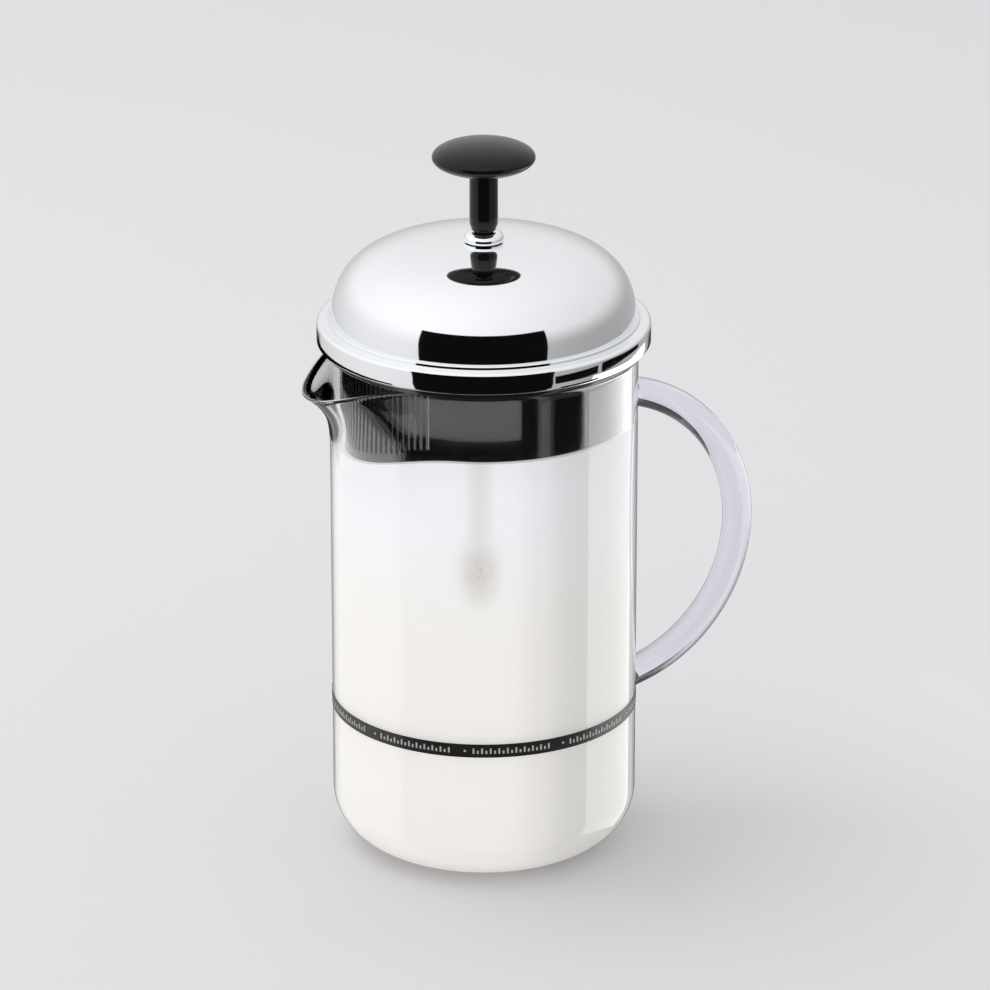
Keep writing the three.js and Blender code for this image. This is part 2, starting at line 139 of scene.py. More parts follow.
class StudioSizes(bpy.types.PropertyGroup):
    """Camera and light"""

    azimuth: FloatProperty(name="Azimuth", description="Camera's turn round the frother, in degrees",
                           default=-25.0)
    elevation: FloatProperty(name="Elevation", description="Camera's height angle, in degrees", default=21.0)
    distance: length("Distance", "Camera to frother", 1.40)
    lens: FloatProperty(name="Lens", description="Focal length in millimetres", default=216.7)
    aim_side: length("Aim side", "How far right of the axis the camera looks", 2.6 * MM)
    aim_height: length("Aim height", "Height the camera looks at", 85.6 * MM)
    overhead: FloatProperty(name="Overhead", description="Power of the overhead softbox, in watts",
                            default=2.5)
    ambient: FloatProperty(name="Ambient", description="Brightness of the tent as dull surfaces see it",
                           default=0.745)
    # Painted light: the milk glows with its own colour, though it is no lamp.
    milk_painted_glow: FloatProperty(name="Milk glow", description="Light scattered out of the milk", default=0.585)


# ---- Modelling helpers -----------------------------------------------------------------------

def sizes():
    return bpy.context.scene.frother_sizes


def colours():
    return bpy.context.scene.frother_colours


def studio():
    return bpy.context.scene.frother_studio


def deselect():
    if bpy.context.mode != "OBJECT":
        bpy.ops.object.mode_set(mode="OBJECT")
    bpy.ops.object.select_all(action="DESELECT")


def pick(obj):
    deselect()
    obj.select_set(True)
    bpy.context.view_layer.objects.active = obj


def arc(r, z, radius, start, end, steps):
    """Points of a circular arc in a profile, between two angles in degrees."""
    points = []
    for i in range(steps + 1):
        angle = math.radians(start + (end - start) * i / steps)
        points.append((r + radius * math.cos(angle), z + radius * math.sin(angle)))
    return points


def run(start, end, steps):
    """A straight run of a profile in equal steps, without its first point."""
    return [
        (start[0] + (end[0] - start[0]) * i / steps, start[1] + (end[1] - start[1]) * i / steps)
        for i in range(1, steps + 1)
    ]


def merge_doubles(obj, distance=WELD):
    pick(obj)
    bpy.ops.object.mode_set(mode="EDIT")
    bpy.ops.mesh.select_all(action="SELECT")
    bpy.ops.mesh.remove_doubles(threshold=distance)
    bpy.ops.mesh.normals_make_consistent(inside=False)
    bpy.ops.object.mode_set(mode="OBJECT")


def turn(name, profile, facets=ROUND_SMALL):
    """A turned piece: a ring is extruded up the profile, point by point.

    The profile is a list of (radius, height). It starts and ends on the axis, or is closed on itself.
    """
    on_axis = profile[0][0] == 0 and profile[-1][0] == 0
    points = list(profile) if on_axis else [*profile, profile[0]]
    radius = max(points[0][0], POLE)
    height = points[0][1]
    deselect()
    bpy.ops.mesh.primitive_circle_add(vertices=facets, radius=radius, location=(0, 0, height))
    obj = bpy.context.object
    obj.name = name
    bpy.ops.object.transform_apply(location=True, rotation=True, scale=True)
    bpy.ops.object.mode_set(mode="EDIT")
    bpy.ops.mesh.select_all(action="SELECT")
    for r, z in points[1:]:
        r = max(r, POLE)
        bpy.ops.mesh.extrude_region_move(TRANSFORM_OT_translate={"value": (0, 0, z - height)})
        grow = r / radius
        bpy.ops.transform.resize(value=(grow, grow, 1), center_override=(0, 0, z))
        radius, height = r, z
    merge_doubles(obj)
    return obj


def add_modifier(obj, kind, **settings):
    pick(obj)
    modifier = obj.modifiers.new(kind.title(), kind)
    for key, value in settings.items():
        setattr(modifier, key, value)
    bpy.ops.object.modifier_apply(modifier=modifier.name)


def soften(obj, width, segments=2, angle=35):
    add_modifier(obj, "BEVEL", width=width, segments=segments, limit_method="ANGLE",
                 angle_limit=math.radians(angle), harden_normals=False)


def combine(obj, tool, operation):
    """Joins, cuts or keeps what two pieces share, and uses the second one up."""
    add_modifier(obj, "BOOLEAN", object=tool, operation=operation, solver="EXACT")
    bpy.data.objects.remove(tool)


def join(pieces):
    pick(pieces[0])
    for piece in pieces[1:]:
        piece.select_set(True)
    bpy.ops.object.join()
    return bpy.context.object


def smooth(obj, angle=32):
    pick(obj)
    bpy.ops.object.shade_smooth_by_angle(angle=math.radians(angle))


def finish_piece(obj, name, material, body, slot, *nodes, angle=32):
    """Names a piece, smooths and dresses it, ties it to its body and hides its CAD nodes. Its slot is not
    used.
    """
    obj.name = name
    obj.data.name = name
    smooth(obj, angle)
    obj.data.materials.clear()
    obj.data.materials.append(material)
    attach(obj, body)
    if nodes:
        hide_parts(*nodes)
    return obj


def weight_group(obj, name, weight):
    """A vertex group whose weights come from a function of the vertex's place."""
    group = obj.vertex_groups.new(name=name)
    for vertex in obj.data.vertices:
        value = weight(vertex.co)
        if value > 0:
            group.add([vertex.index], value, "REPLACE")
    return group.name


def push(obj, group, direction, distance):
    add_modifier(obj, "DISPLACE", vertex_group=group, direction=direction, strength=distance, mid_level=0)


def spout_lobe(point, half_angle):
    """1 on the spout's side, falling smoothly to 0 at the half angle, in degrees, on either side."""
    share = abs(math.atan2(point.y, -point.x)) / math.radians(half_angle)
    return math.cos(share * math.pi / 2) ** 2 if share < 1 else 0.0


# ---- Finishes --------------------------------------------------------------------------------

def add_socket(group, name, in_out, kind, default=None):
    socket = group.interface.new_socket(name=name, in_out=in_out, socket_type=kind)
    if default is not None:
        socket.default_value = default
    return socket


def node(tree, kind, place, **settings):
    made = tree.nodes.new(kind)
    made.location = place
    for key, value in settings.items():
        setattr(made, key, value)
    return made


def spot(tree):
    """A free place in the node editor for the next node."""
    column, row = divmod(len(tree.nodes), 6)
    return (200 * column - 1800, -200 * row)


def feed(tree, target, value):
    """Sets a socket to a number or vector, or links another socket to it."""
    if isinstance(value, bpy.types.NodeSocket):
        tree.links.new(value, target)
    else:
        target.default_value = value


def calculate(tree, operation, *values):
    made = node(tree, "ShaderNodeMath", spot(tree), operation=operation)
    for target, value in zip(made.inputs, values):
        feed(tree, target, value)
    return made.outputs["Value"]


def fade(tree, value, start, end, before, after):
    """Moves smoothly from one value to another while a socket goes from start to end."""
    made = node(tree, "ShaderNodeMapRange", spot(tree), interpolation_type="SMOOTHSTEP")
    feed(tree, made.inputs["Value"], value)
    made.inputs["From Min"].default_value = start
    made.inputs["From Max"].default_value = end
    feed(tree, made.inputs["To Min"], before)
    feed(tree, made.inputs["To Max"], after)
    return made.outputs["Result"]


def along(tree, vector, direction):
    """How far a vector reaches in a direction."""
    made = node(tree, "ShaderNodeVectorMath", spot(tree), operation="DOT_PRODUCT")
    feed(tree, made.inputs[0], vector)
    made.inputs[1].default_value = direction
    return made.outputs["Value"]


def blend(tree, share, first, second):
    """Mixes two colours."""
    made = node(tree, "ShaderNodeMix", spot(tree), data_type="RGBA")
    feed(tree, made.inputs["Factor"], share)
    feed(tree, made.inputs["A"], first)
    feed(tree, made.inputs["B"], second)
    return made.outputs["Result"]


def handling_group():
    """Fine scratches, smudges and slow waviness, which handled smooth surfaces share."""
    group = bpy.data.node_groups.get("Handling")
    if group:
        return group
    group = bpy.data.node_groups.new("Handling", "ShaderNodeTree")
    add_socket(group, "Roughness", "INPUT", "NodeSocketFloat", 0.1)
    add_socket(group, "Smudge", "INPUT", "NodeSocketFloat", 0.05)
    add_socket(group, "Scratch", "INPUT", "NodeSocketFloat", 0.1)
    add_socket(group, "Wave", "INPUT", "NodeSocketFloat", 0.1)
    add_socket(group, "Roughness", "OUTPUT", "NodeSocketFloat")
    add_socket(group, "Normal", "OUTPUT", "NodeSocketVector")
    start = node(group, "NodeGroupInput", (-900, 0))
    end = node(group, "NodeGroupOutput", (700, 0))
    place = node(group, "ShaderNodeTexCoord", (-900, 300))
    smudge = node(group, "ShaderNodeTexNoise", (-600, 300))
    smudge.inputs["Scale"].default_value = 45
    smudge.inputs["Detail"].default_value = 4
    smudge_range = node(group, "ShaderNodeMapRange", (-400, 300))
    smudge_range.inputs["From Min"].default_value = 0.45
    smudge_range.inputs["From Max"].default_value = 0.75
    smudged = node(group, "ShaderNodeMath", (-200, 300), operation="MULTIPLY_ADD")
    squash = node(group, "ShaderNodeMapping", (-700, -100))
    squash.inputs["Scale"].default_value = (400, 2600, 900)
    squash.inputs["Rotation"].default_value = (0.5, 0.3, 0.8)
    scratch = node(group, "ShaderNodeTexNoise", (-500, -100))
    scratch.inputs["Scale"].default_value = 1
    scratch.inputs["Detail"].default_value = 2
    wave = node(group, "ShaderNodeTexNoise", (-500, -350))
    wave.inputs["Scale"].default_value = 22
    wave.inputs["Detail"].default_value = 1
    fine = node(group, "ShaderNodeBump", (0, -100))
    fine.inputs["Distance"].default_value = 0.004 * MM
    slow = node(group, "ShaderNodeBump", (300, -200))
    slow.inputs["Distance"].default_value = 0.05 * MM
    link = group.links.new
    link(place.outputs["Object"], smudge.inputs["Vector"])
    link(place.outputs["Object"], squash.inputs["Vector"])
    link(place.outputs["Object"], wave.inputs["Vector"])
    link(squash.outputs["Vector"], scratch.inputs["Vector"])
    link(smudge.outputs["Fac"], smudge_range.inputs["Value"])
    link(smudge_range.outputs["Result"], smudged.inputs[0])
    link(start.outputs["Smudge"], smudged.inputs[1])
    link(start.outputs["Roughness"], smudged.inputs[2])
    link(scratch.outputs["Fac"], fine.inputs["Height"])
    link(start.outputs["Scratch"], fine.inputs["Strength"])
    link(wave.outputs["Fac"], slow.inputs["Height"])
    link(start.outputs["Wave"], slow.inputs["Strength"])
    link(fine.outputs["Normal"], slow.inputs["Normal"])
    link(smudged.outputs["Value"], end.inputs["Roughness"])
    link(slow.outputs["Normal"], end.inputs["Normal"])
    return group


def mottle_group():
    """A base colour that drifts a little lighter and darker over the surface."""
    group = bpy.data.node_groups.get("Mottle")
    if group:
        return group
    group = bpy.data.node_groups.new("Mottle", "ShaderNodeTree")
    add_socket(group, "Color", "INPUT", "NodeSocketColor")
    add_socket(group, "Amount", "INPUT", "NodeSocketFloat", 0.1)
    add_socket(group, "Scale", "INPUT", "NodeSocketFloat", 60)
    add_socket(group, "Color", "OUTPUT", "NodeSocketColor")
    start = node(group, "NodeGroupInput", (-800, 0))
    end = node(group, "NodeGroupOutput", (500, 0))
    place = node(group, "ShaderNodeTexCoord", (-800, 250))
    cloud = node(group, "ShaderNodeTexNoise", (-500, 200))
    cloud.inputs["Detail"].default_value = 6
    centred = node(group, "ShaderNodeMath", (-300, 200), operation="SUBTRACT")
    centred.inputs[1].default_value = 0.5
    gain = node(group, "ShaderNodeMath", (-100, 200), operation="MULTIPLY_ADD")
    gain.inputs[2].default_value = 1
    tint = node(group, "ShaderNodeVectorMath", (200, 0), operation="SCALE")
    link = group.links.new
    link(place.outputs["Object"], cloud.inputs["Vector"])
    link(start.outputs["Scale"], cloud.inputs["Scale"])
    link(cloud.outputs["Fac"], centred.inputs[0])
    link(centred.outputs["Value"], gain.inputs[0])
    link(start.outputs["Amount"], gain.inputs[1])
    link(start.outputs["Color"], tint.inputs[0])
    link(gain.outputs["Value"], tint.inputs["Scale"])
    link(tint.outputs["Vector"], end.inputs["Color"])
    return group


def handled_material(name, base, roughness, smudge, scratch, wave, mottle=0.1, mottle_scale=60):
    """A Principled material with the shared handling and mottle effects plugged in."""
    material = bpy.data.materials.get(name)
    if material:
        return material
    material = bpy.data.materials.new(name)
    material.use_nodes = True
    tree = material.node_tree
    shader = tree.nodes["Principled BSDF"]
    surface = node(tree, "ShaderNodeGroup", (-300, -100), node_tree=handling_group())
    surface.inputs["Roughness"].default_value = roughness
    surface.inputs["Smudge"].default_value = smudge
    surface.inputs["Scratch"].default_value = scratch
    surface.inputs["Wave"].default_value = wave
    tone = node(tree, "ShaderNodeGroup", (-300, 200), node_tree=mottle_group())
    tone.inputs["Color"].default_value = (*base, 1)
    tone.inputs["Amount"].default_value = mottle
    tone.inputs["Scale"].default_value = mottle_scale
    tree.links.new(tone.outputs["Color"], shader.inputs["Base Color"])
    tree.links.new(surface.outputs["Roughness"], shader.inputs["Roughness"])
    tree.links.new(surface.outputs["Normal"], shader.inputs["Normal"])
    return material


def handle_arc():
    """The centre and radius of the handle rod's arc, and the rod's own radius."""
    lowest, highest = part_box("glass_handle")
    rod_r = highest.y
    arc_r = sizes().handle_arc
    return Vector((highest.x - arc_r - rod_r, 0, (highest.z + lowest.z) / 2)), arc_r, rod_r


def painted_edge_shade_mask(tree, place, centre, arc_r, rod_r):
    """Grows from 0 to 1 towards the handle rod's lower and outer face, where the painted shade lies."""
    def vector_math(operation, source, *values):
        made = node(tree, "ShaderNodeVectorMath", spot(tree), operation=operation)
        for target, value in zip(made.inputs, (source, *values)):
            feed(tree, target, value)
        return made

    from_centre = vector_math("SUBTRACT", place, centre).outputs["Vector"]
    in_plane = vector_math("MULTIPLY", from_centre, (1, 0, 1)).outputs["Vector"]
    distance = vector_math("LENGTH", in_plane).outputs["Value"]
    outward = vector_math("NORMALIZE", in_plane).outputs["Vector"]
    down_and_out = (0.55, 0, -1)
    lean = along(tree, outward, down_and_out)
    drop = calculate(tree, "MULTIPLY", calculate(tree, "SUBTRACT", distance, arc_r), lean)
    return fade(tree, drop, rod_r * 0.28, rod_r * 0.60, 0.0, 1.0)


def glass_material():
    """Clear glass. Its tint and a dark line of painted shade along its lower edge show in the handle's thick
    rod only.
    """
    material = bpy.data.materials.get("clear glass")
    if material:
        return material
    material = handled_material("clear glass", colours().glass, 0.0, 0.012, 0.0, 0.35, mottle=0.01)
    tree = material.node_tree
    shader = tree.nodes["Principled BSDF"]
    shader.inputs["Transmission Weight"].default_value = 1.0
    shader.inputs["IOR"].default_value = 1.47
    place = node(tree, "ShaderNodeTexCoord", spot(tree)).outputs["Object"]
    split = node(tree, "ShaderNodeSeparateXYZ", spot(tree))
    tree.links.new(place, split.inputs["Vector"])
    thick = node(tree, "ShaderNodeMapRange", spot(tree))
    thick.inputs["From Min"].default_value = JUG_R
    thick.inputs["From Max"].default_value = JUG_R + 3 * MM
    tree.links.new(split.outputs["X"], thick.inputs["Value"])
    # Painted shade: where the handle rod is seen edge-on on its lower, outer side, its tint turns to the
    # dark edge colour.
    slant = node(tree, "ShaderNodeLayerWeight", spot(tree)).outputs["Facing"]
    grazing = fade(tree, slant, 0.08, 0.26, 0.0, 1.0)
    dark = calculate(tree, "MULTIPLY", grazing, painted_edge_shade_mask(tree, place, *handle_arc()))
    rod = blend(tree, dark, (*colours().thick_glass, 1), (*colours().painted_glass_edge_shade, 1))
    wall = shader.inputs["Base Color"].links[0].from_socket
    tree.links.new(blend(tree, thick.outputs["Result"], wall, rod), shader.inputs["Base Color"])
    return material


def chrome_material():
    material = handled_material("polished chrome", colours().chrome, 0.035, 0.03, 0.15, 0.06, mottle=0.03)
    material.node_tree.nodes["Principled BSDF"].inputs["Metallic"].default_value = 1.0
    return material


def steel_material():
    material = handled_material("satin steel", colours().steel, 0.22, 0.12, 0.9, 0.3, mottle=0.12,
                                mottle_scale=180)
    material.node_tree.nodes["Principled BSDF"].inputs["Metallic"].default_value = 1.0
    return material


def brass_material():
    material = handled_material("turned brass", colours().brass, 0.26, 0.12, 0.8, 0.3, mottle=0.2,
                                mottle_scale=150)
    material.node_tree.nodes["Principled BSDF"].inputs["Metallic"].default_value = 1.0
    return material


def black_material():
    material = handled_material("gloss black", colours().black, 0.10, 0.08, 0.2, 0.15, mottle=0.3)
    shader = material.node_tree.nodes["Principled BSDF"]
    shader.inputs["IOR"].default_value = 1.36
    return material


def smoky_material():
    material = handled_material("smoky black", colours().smoky, 0.12, 0.08, 0.1, 0.12, mottle=0.3)
    shader = material.node_tree.nodes["Principled BSDF"]
    shader.inputs["IOR"].default_value = 2.0
    return material


def enamel_material():
    return handled_material("fired enamel", colours().enamel, 0.38, 0.15, 0.5, 0.4, mottle=0.5,
                            mottle_scale=420)


def print_material():
    return handled_material("light print", colours().print_light, 0.45, 0.1, 0.4, 0.3, mottle=0.35,
                            mottle_scale=500)


# ---- Jug -------------------------------------------------------------------------------------

def jug_profile():
    s = sizes()
    corner_in = s.jug_corner - JUG_WALL
    lip = JUG_WALL / 2
    wall_steps = 26
    outer_top = (JUG_R, RIM_Z - lip)
    inner_top = (JUG_INNER_R, RIM_Z - lip)
    outer_low = (JUG_R, s.spout_start)
    inner_low = (JUG_INNER_R, s.spout_start)
    return [
        (0, 0),
        *arc(JUG_R - s.jug_corner, s.jug_corner, s.jug_corner, -90, 0, 16),
        outer_low,
        *run(outer_low, outer_top, wall_steps),
        *arc(JUG_R - lip, RIM_Z - lip, lip, 15, 165, 10),
        inner_top,
        *run(inner_top, inner_low, wall_steps),
        *arc(JUG_INNER_R - corner_in, s.jug_floor + corner_in, corner_in, 0, -90, 16),
        (0, s.jug_floor),
    ]


def pull_spout(jug):
    """Leans the wall out and down into a pouring lip on the handle's far side."""
    s = sizes()
    reach = -low("glass_jug").x - JUG_R

    def lean(power):
        def weight(point):
            rise = (point.z - s.spout_start) / (RIM_Z - s.spout_start)
            return spout_lobe(point, 40) * min(rise, 1.0) ** power if rise > 0 else 0.0
        return weight

    out = weight_group(jug, "spout_out", lean(2.2))
    down = weight_group(jug, "spout_down", lean(2.5))
    push(jug, out, "X", -reach)
    push(jug, down, "Z", -s.spout_dip)


def handle_rod():
    """The handle: a round section spun round the middle of its arc, flared where it joins the wall."""
    centre, arc_r, rod_r = handle_arc()
    root = JUG_R - 0.9 * MM
    reach = math.acos((root - centre.x) / arc_r)
    start = centre + Vector((math.cos(reach), 0, math.sin(reach))) * arc_r
    deselect()
    bpy.ops.mesh.primitive_circle_add(vertices=40, radius=rod_r, fill_type="NGON", location=start,
                                      rotation=(0, -reach, 0))
    rod = bpy.context.object
    bpy.ops.object.transform_apply(location=True, rotation=True, scale=True)
    bpy.ops.object.mode_set(mode="EDIT")
    bpy.ops.mesh.select_all(action="SELECT")
    bpy.ops.mesh.spin(steps=110, angle=-2 * reach, center=centre, axis=(0, 1, 0))
    merge_doubles(rod)
    flare = 4.5 * MM
    for vertex in rod.data.vertices:
        out = vertex.co.x - JUG_R
        if out < flare:
            height = vertex.co.z - centre.z
            angle = math.atan2(height, vertex.co.x - centre.x)
            middle = centre + Vector((math.cos(angle), 0, math.sin(angle))) * arc_r
            grow = 1 + 0.35 * ((flare - max(out, 0)) / flare) ** 3
            vertex.co = middle + (vertex.co - middle) * grow
    return rod


class FROTHER_OT_jug(bpy.types.Operator):
    """Blow the glass jug and fuse its rod handle on"""

    bl_idname = "frother.jug"
    bl_label = "Glass jug"

    def execute(self, context):
        jug = turn("jug_glass", jug_profile(), ROUND)
        pull_spout(jug)
        combine(jug, handle_rod(), "UNION")
        merge_doubles(jug)
        finish_piece(jug, "jug_glass", glass_material(), "jug", "clear_glass",
                     "glass_jug", "glass_handle", angle=50)
        return {"FINISHED"}


def band_strip(name, inner_r, thickness, bottom, height, open_angle):
    """A strip wrapped round the jug, left open on the handle's side."""
    deselect()
    bpy.ops.mesh.primitive_plane_add(size=1, location=(inner_r + thickness / 2, 0, bottom + height / 2),
                                     rotation=(math.pi / 2, 0, 0))
    strip = bpy.context.object
    strip.name = name
    strip.scale = (thickness, height, 1)
    bpy.ops.object.transform_apply(location=True, rotation=True, scale=True)
    bpy.ops.object.mode_set(mode="EDIT")
    bpy.ops.mesh.select_all(action="SELECT")
    bpy.ops.transform.rotate(value=-open_angle, orient_axis="Z", center_override=(0, 0, 0))
    bpy.ops.mesh.spin(steps=ROUND, angle=-(2 * math.pi - 2 * open_angle), center=(0, 0, 0), axis=(0, 0, 1))
    merge_doubles(strip, 0.0005 * MM)
    return strip


class FROTHER_OT_level_band(bpy.types.Operator):
    """Print the level band with its row of plain marks"""

    bl_idname = "frother.level_band"
    bl_label = "Level band"

    def execute(self, context):
        lowest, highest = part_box("level_band")
        open_angle = math.radians(10)
        skin = 0.10 * MM
        gap = 0.01 * MM
        inner_r = JUG_R + gap
        height = highest.z - lowest.z
        band = band_strip("level_band_print", inner_r, skin, lowest.z, height, open_angle)
        finish_piece(band, "level_band_print", enamel_material(), "jug", "band_enamel", "level_band")
        marks = band_marks(inner_r + skin, (lowest.z + highest.z) / 2, open_angle)
        finish_piece(marks, "level_band_marks", print_material(), "jug", "band_enamel")
        return {"FINISHED"}


def mark_bar(radius, middle_z, angle, width, height):
    """One small printed bar on the band's face, at an angle round the jug."""
    depth = 0.04 * MM
    middle_r = radius + depth / 2
    place = (middle_r * math.cos(angle), middle_r * math.sin(angle), middle_z)
    deselect()
    bpy.ops.mesh.primitive_cube_add(size=1, location=place, rotation=(0, 0, angle))
    bar = bpy.context.object
    bar.scale = (depth, width, height)
    bpy.ops.object.transform_apply(location=True, rotation=True, scale=True)
    return bar


def copy_round(obj, steps, angle):
    """Copies a mesh round the jug's axis, one copy for each step, within the same object."""
    pick(obj)
    bpy.ops.object.mode_set(mode="EDIT")
    bpy.ops.mesh.select_all(action="SELECT")
    bpy.ops.mesh.spin(steps=steps, dupli=True, angle=-angle, center=(0, 0, 0), axis=(0, 0, 1))
    bpy.ops.object.mode_set(mode="OBJECT")


def band_marks(radius, middle_z, open_angle):
    """Groups of upright ticks, tall and short by turns, with a square dot between the groups."""
    groups = 9
    span = (2 * math.pi - 2 * open_angle) / groups
    ticks = 10
    tick_step = span * 0.84 / ticks
    first = open_angle + span * 0.12
    dot_angle = open_angle + span * 0.035
    wide = 0.42 * MM
    tall = 1.35 * MM
    short = 0.8 * MM
    dot_side = 0.5 * MM
    lower = middle_z - (tall - short) / 2
    group = mark_bar(radius, middle_z, first, wide, tall)
    copy_round(group, ticks - 1, tick_step * (ticks - 1))
    between = mark_bar(radius, lower, first + tick_step / 2, wide, short)
    copy_round(between, ticks - 2, tick_step * (ticks - 2))
    dot = mark_bar(radius, middle_z, dot_angle, dot_side, dot_side)
    whole = join([group, between, dot])
    copy_round(whole, groups - 1, span * (groups - 1))
    return whole


# ---- Lid -------------------------------------------------------------------------------------

def dome_curve(offset, start_z, hole_r, steps):
    """The dome's superellipse, from a height up to the hole, for a dome shrunk inwards by an offset."""
    s = sizes()
    base_r = s.dome_radius - offset
    rise = high("lid_dome").z - offset - s.dome_base
    start = math.asin(((start_z - s.dome_base) / rise) ** (s.dome_top / 2))
    end = math.acos((hole_r / base_r) ** (s.dome_side / 2))
    points = []
    for i in range(steps + 1):
        angle = start + (end - start) * i / steps
        r = base_r * math.cos(angle) ** (2 / s.dome_side)
        points.append((r, s.dome_base + rise * math.sin(angle) ** (2 / s.dome_top)))
    return points


class FROTHER_OT_lid(bpy.types.Operator):
    """Spin the chrome dome with the ring round its foot, its brim and its skirt"""

    bl_idname = "frother.lid"
    bl_label = "Chrome lid"

    def execute(self, context):
        s = sizes()
        skirt_r = high("lid_dome").y
        skirt_low = low("lid_dome").z
        inner_r = skirt_r - s.lid_wall
        brim_top = skirt_low + s.brim_height
        hem = s.lid_wall / 2
        hole_r = 3.75 * MM
        shoulder = 0.9 * MM
        bead = 0.36 * MM
        bead_r = s.dome_radius + 0.56 * MM
        bead_z = brim_top + 0.5 * MM
        profile = [
            *arc(skirt_r - hem, skirt_low + hem, hem, 180, 360, 8),
            *run((skirt_r, skirt_low + hem), (skirt_r, brim_top - shoulder), 3),
            *arc(skirt_r - shoulder, brim_top - shoulder, shoulder, 10, 90, 8),
            (bead_r + bead * 2.2, brim_top),
            (bead_r + bead * 1.15, brim_top + bead * 0.3),
            *arc(bead_r, bead_z, bead, -15, 165, 10),
            *dome_curve(0, bead_z + 0.05 * MM, hole_r, 56),
            *reversed(dome_curve(s.lid_wall, brim_top, hole_r, 36)),
            (s.dome_radius - s.lid_wall, brim_top - s.lid_wall),
            *arc(inner_r - 0.3 * MM, brim_top - s.lid_wall - 0.3 * MM, 0.3 * MM, 90, 0, 4),
        ]
        lid = turn("lid_shell", profile, 192)
        finish_piece(lid, "lid_shell", chrome_material(), "lid", "polished_chrome", "lid_dome", angle=40)
        return {"FINISHED"}


def strainer_cutters(collar_r, top, tongue_depth):
    """The slots to be cut, as one mesh of narrow boxes that follow the tongue's lower edge."""
    s = sizes()
    spread = math.radians(86)
    foot = 2.3 * MM
    slots = []
    for i in range(s.slot_count):
        angle = spread * (i / (s.slot_count - 1) - 0.5)
        place = Vector((-math.cos(angle), math.sin(angle), 0)) * collar_r
        bottom = s.collar_low - tongue_depth * spout_lobe(place, 55) + foot
        place.z = (top + bottom) / 2
        deselect()
        bpy.ops.mesh.primitive_cube_add(size=1, location=place, rotation=(0, 0, -angle))
        slot = bpy.context.object
        slot.scale = (4 * MM, s.slot_width, top - bottom)
        bpy.ops.object.transform_apply(location=True, rotation=True, scale=True)
        slots.append(slot)
    return join(slots)


class FROTHER_OT_strainer(bpy.types.Operator):
    """Mould the strainer insert with its tongue and slots"""

    bl_idname = "frother.strainer"
    bl_label = "Strainer insert"

    def execute(self, context):
        s = sizes()
        lowest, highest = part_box("lid_insert")
        collar_r = 33.6 * MM
        wall = 1.6 * MM
        inner_r = collar_r - wall
        flange_r = highest.y
        deck_low = RIM_Z + 0.3 * MM
        deck_top = deck_low + 1.5 * MM
        hub_r = 6.4 * MM
        bore = 3.8 * MM
        edge = 0.35 * MM
        tongue_depth = s.collar_low - lowest.z
        high_line = deck_low - 2 * MM
        profile = [
            (bore, deck_low),
            (inner_r - 1 * MM, deck_low),
            *arc(inner_r - 1 * MM, deck_low - 1 * MM, 1 * MM, 75, 0, 5),
            *run((inner_r, high_line), (inner_r, s.collar_low + edge), 6),
            *arc(inner_r + edge, s.collar_low + edge, edge, 195, 270, 4),
            *arc(collar_r - edge, s.collar_low + edge, edge, 285, 360, 4),
            *run((collar_r, s.collar_low + edge), (collar_r, high_line), 6),
            (collar_r, deck_low),
            (flange_r - edge, deck_low),
            *arc(flange_r - edge, deck_low + edge, edge, -60, 0, 3),
            *arc(flange_r - edge, deck_top - edge, edge, 0, 90, 4),
            *arc(hub_r + 1 * MM, deck_top + 1 * MM, 1 * MM, 270, 180, 5),
            (hub_r, highest.z - edge),
            *arc(hub_r - edge, highest.z - edge, edge, 30, 90, 3),
            (bore, highest.z),
        ]
        insert = turn("strainer_insert", profile, 240)

        def hang(point):
            share = (high_line - point.z) / (high_line - s.collar_low)
            return spout_lobe(point, 55) * share if 0 < share and point.xy.length > inner_r - 1 * MM else 0.0

        push(insert, weight_group(insert, "tongue", hang), "Z", -tongue_depth)
        cutters = strainer_cutters(collar_r - wall / 2, deck_low - 0.6 * MM, tongue_depth)
        combine(insert, cutters, "DIFFERENCE")
        finish_piece(insert, "strainer_insert", smoky_material(), "lid", "smoky_plastic", "lid_insert",
                     angle=40)
        return {"FINISHED"}


# ---- Guide -----------------------------------------------------------------------------------

def hex_nut(name, bottom, height, across_flats, bore):
    """A hexagonal nut: a prism kept inside a turned body with chamfered ends, then bored."""
    deselect()
    corner_r = across_flats / math.sqrt(3)
    bpy.ops.mesh.primitive_cylinder_add(vertices=6, radius=corner_r, depth=height,
                                        location=(0, 0, bottom + height / 2))
    prism = bpy.context.object
    bpy.ops.object.transform_apply(location=True, rotation=True, scale=True)
    top = bottom + height
    drop = (corner_r - across_flats / 2) * 0.6
    chamfered = turn(name + "_chamfer", [
        (0, bottom),
        (across_flats / 2 * 0.97, bottom),
        (corner_r * 1.02, bottom + drop),
        (corner_r * 1.02, top - drop),
        (across_flats / 2 * 0.97, top),
        (0, top),
    ])
    combine(prism, chamfered, "INTERSECT")
    lead = 0.35 * MM
    over = 0.5 * MM
    bored = turn(name + "_bore", [
        (0, bottom - over),
        (bore + lead + over, bottom - over),
        (bore, bottom + lead),
        (bore, top - lead),
        (bore + lead + over, top + over),
        (0, top + over),
    ])
    combine(prism, bored, "DIFFERENCE")
    return prism


def washer(name, bottom, top, inner_r, outer_r):
    ring = turn(name, [(inner_r, bottom), (outer_r, bottom), (outer_r, top), (inner_r, top)])
    soften(ring, 0.18 * MM)
    return ring


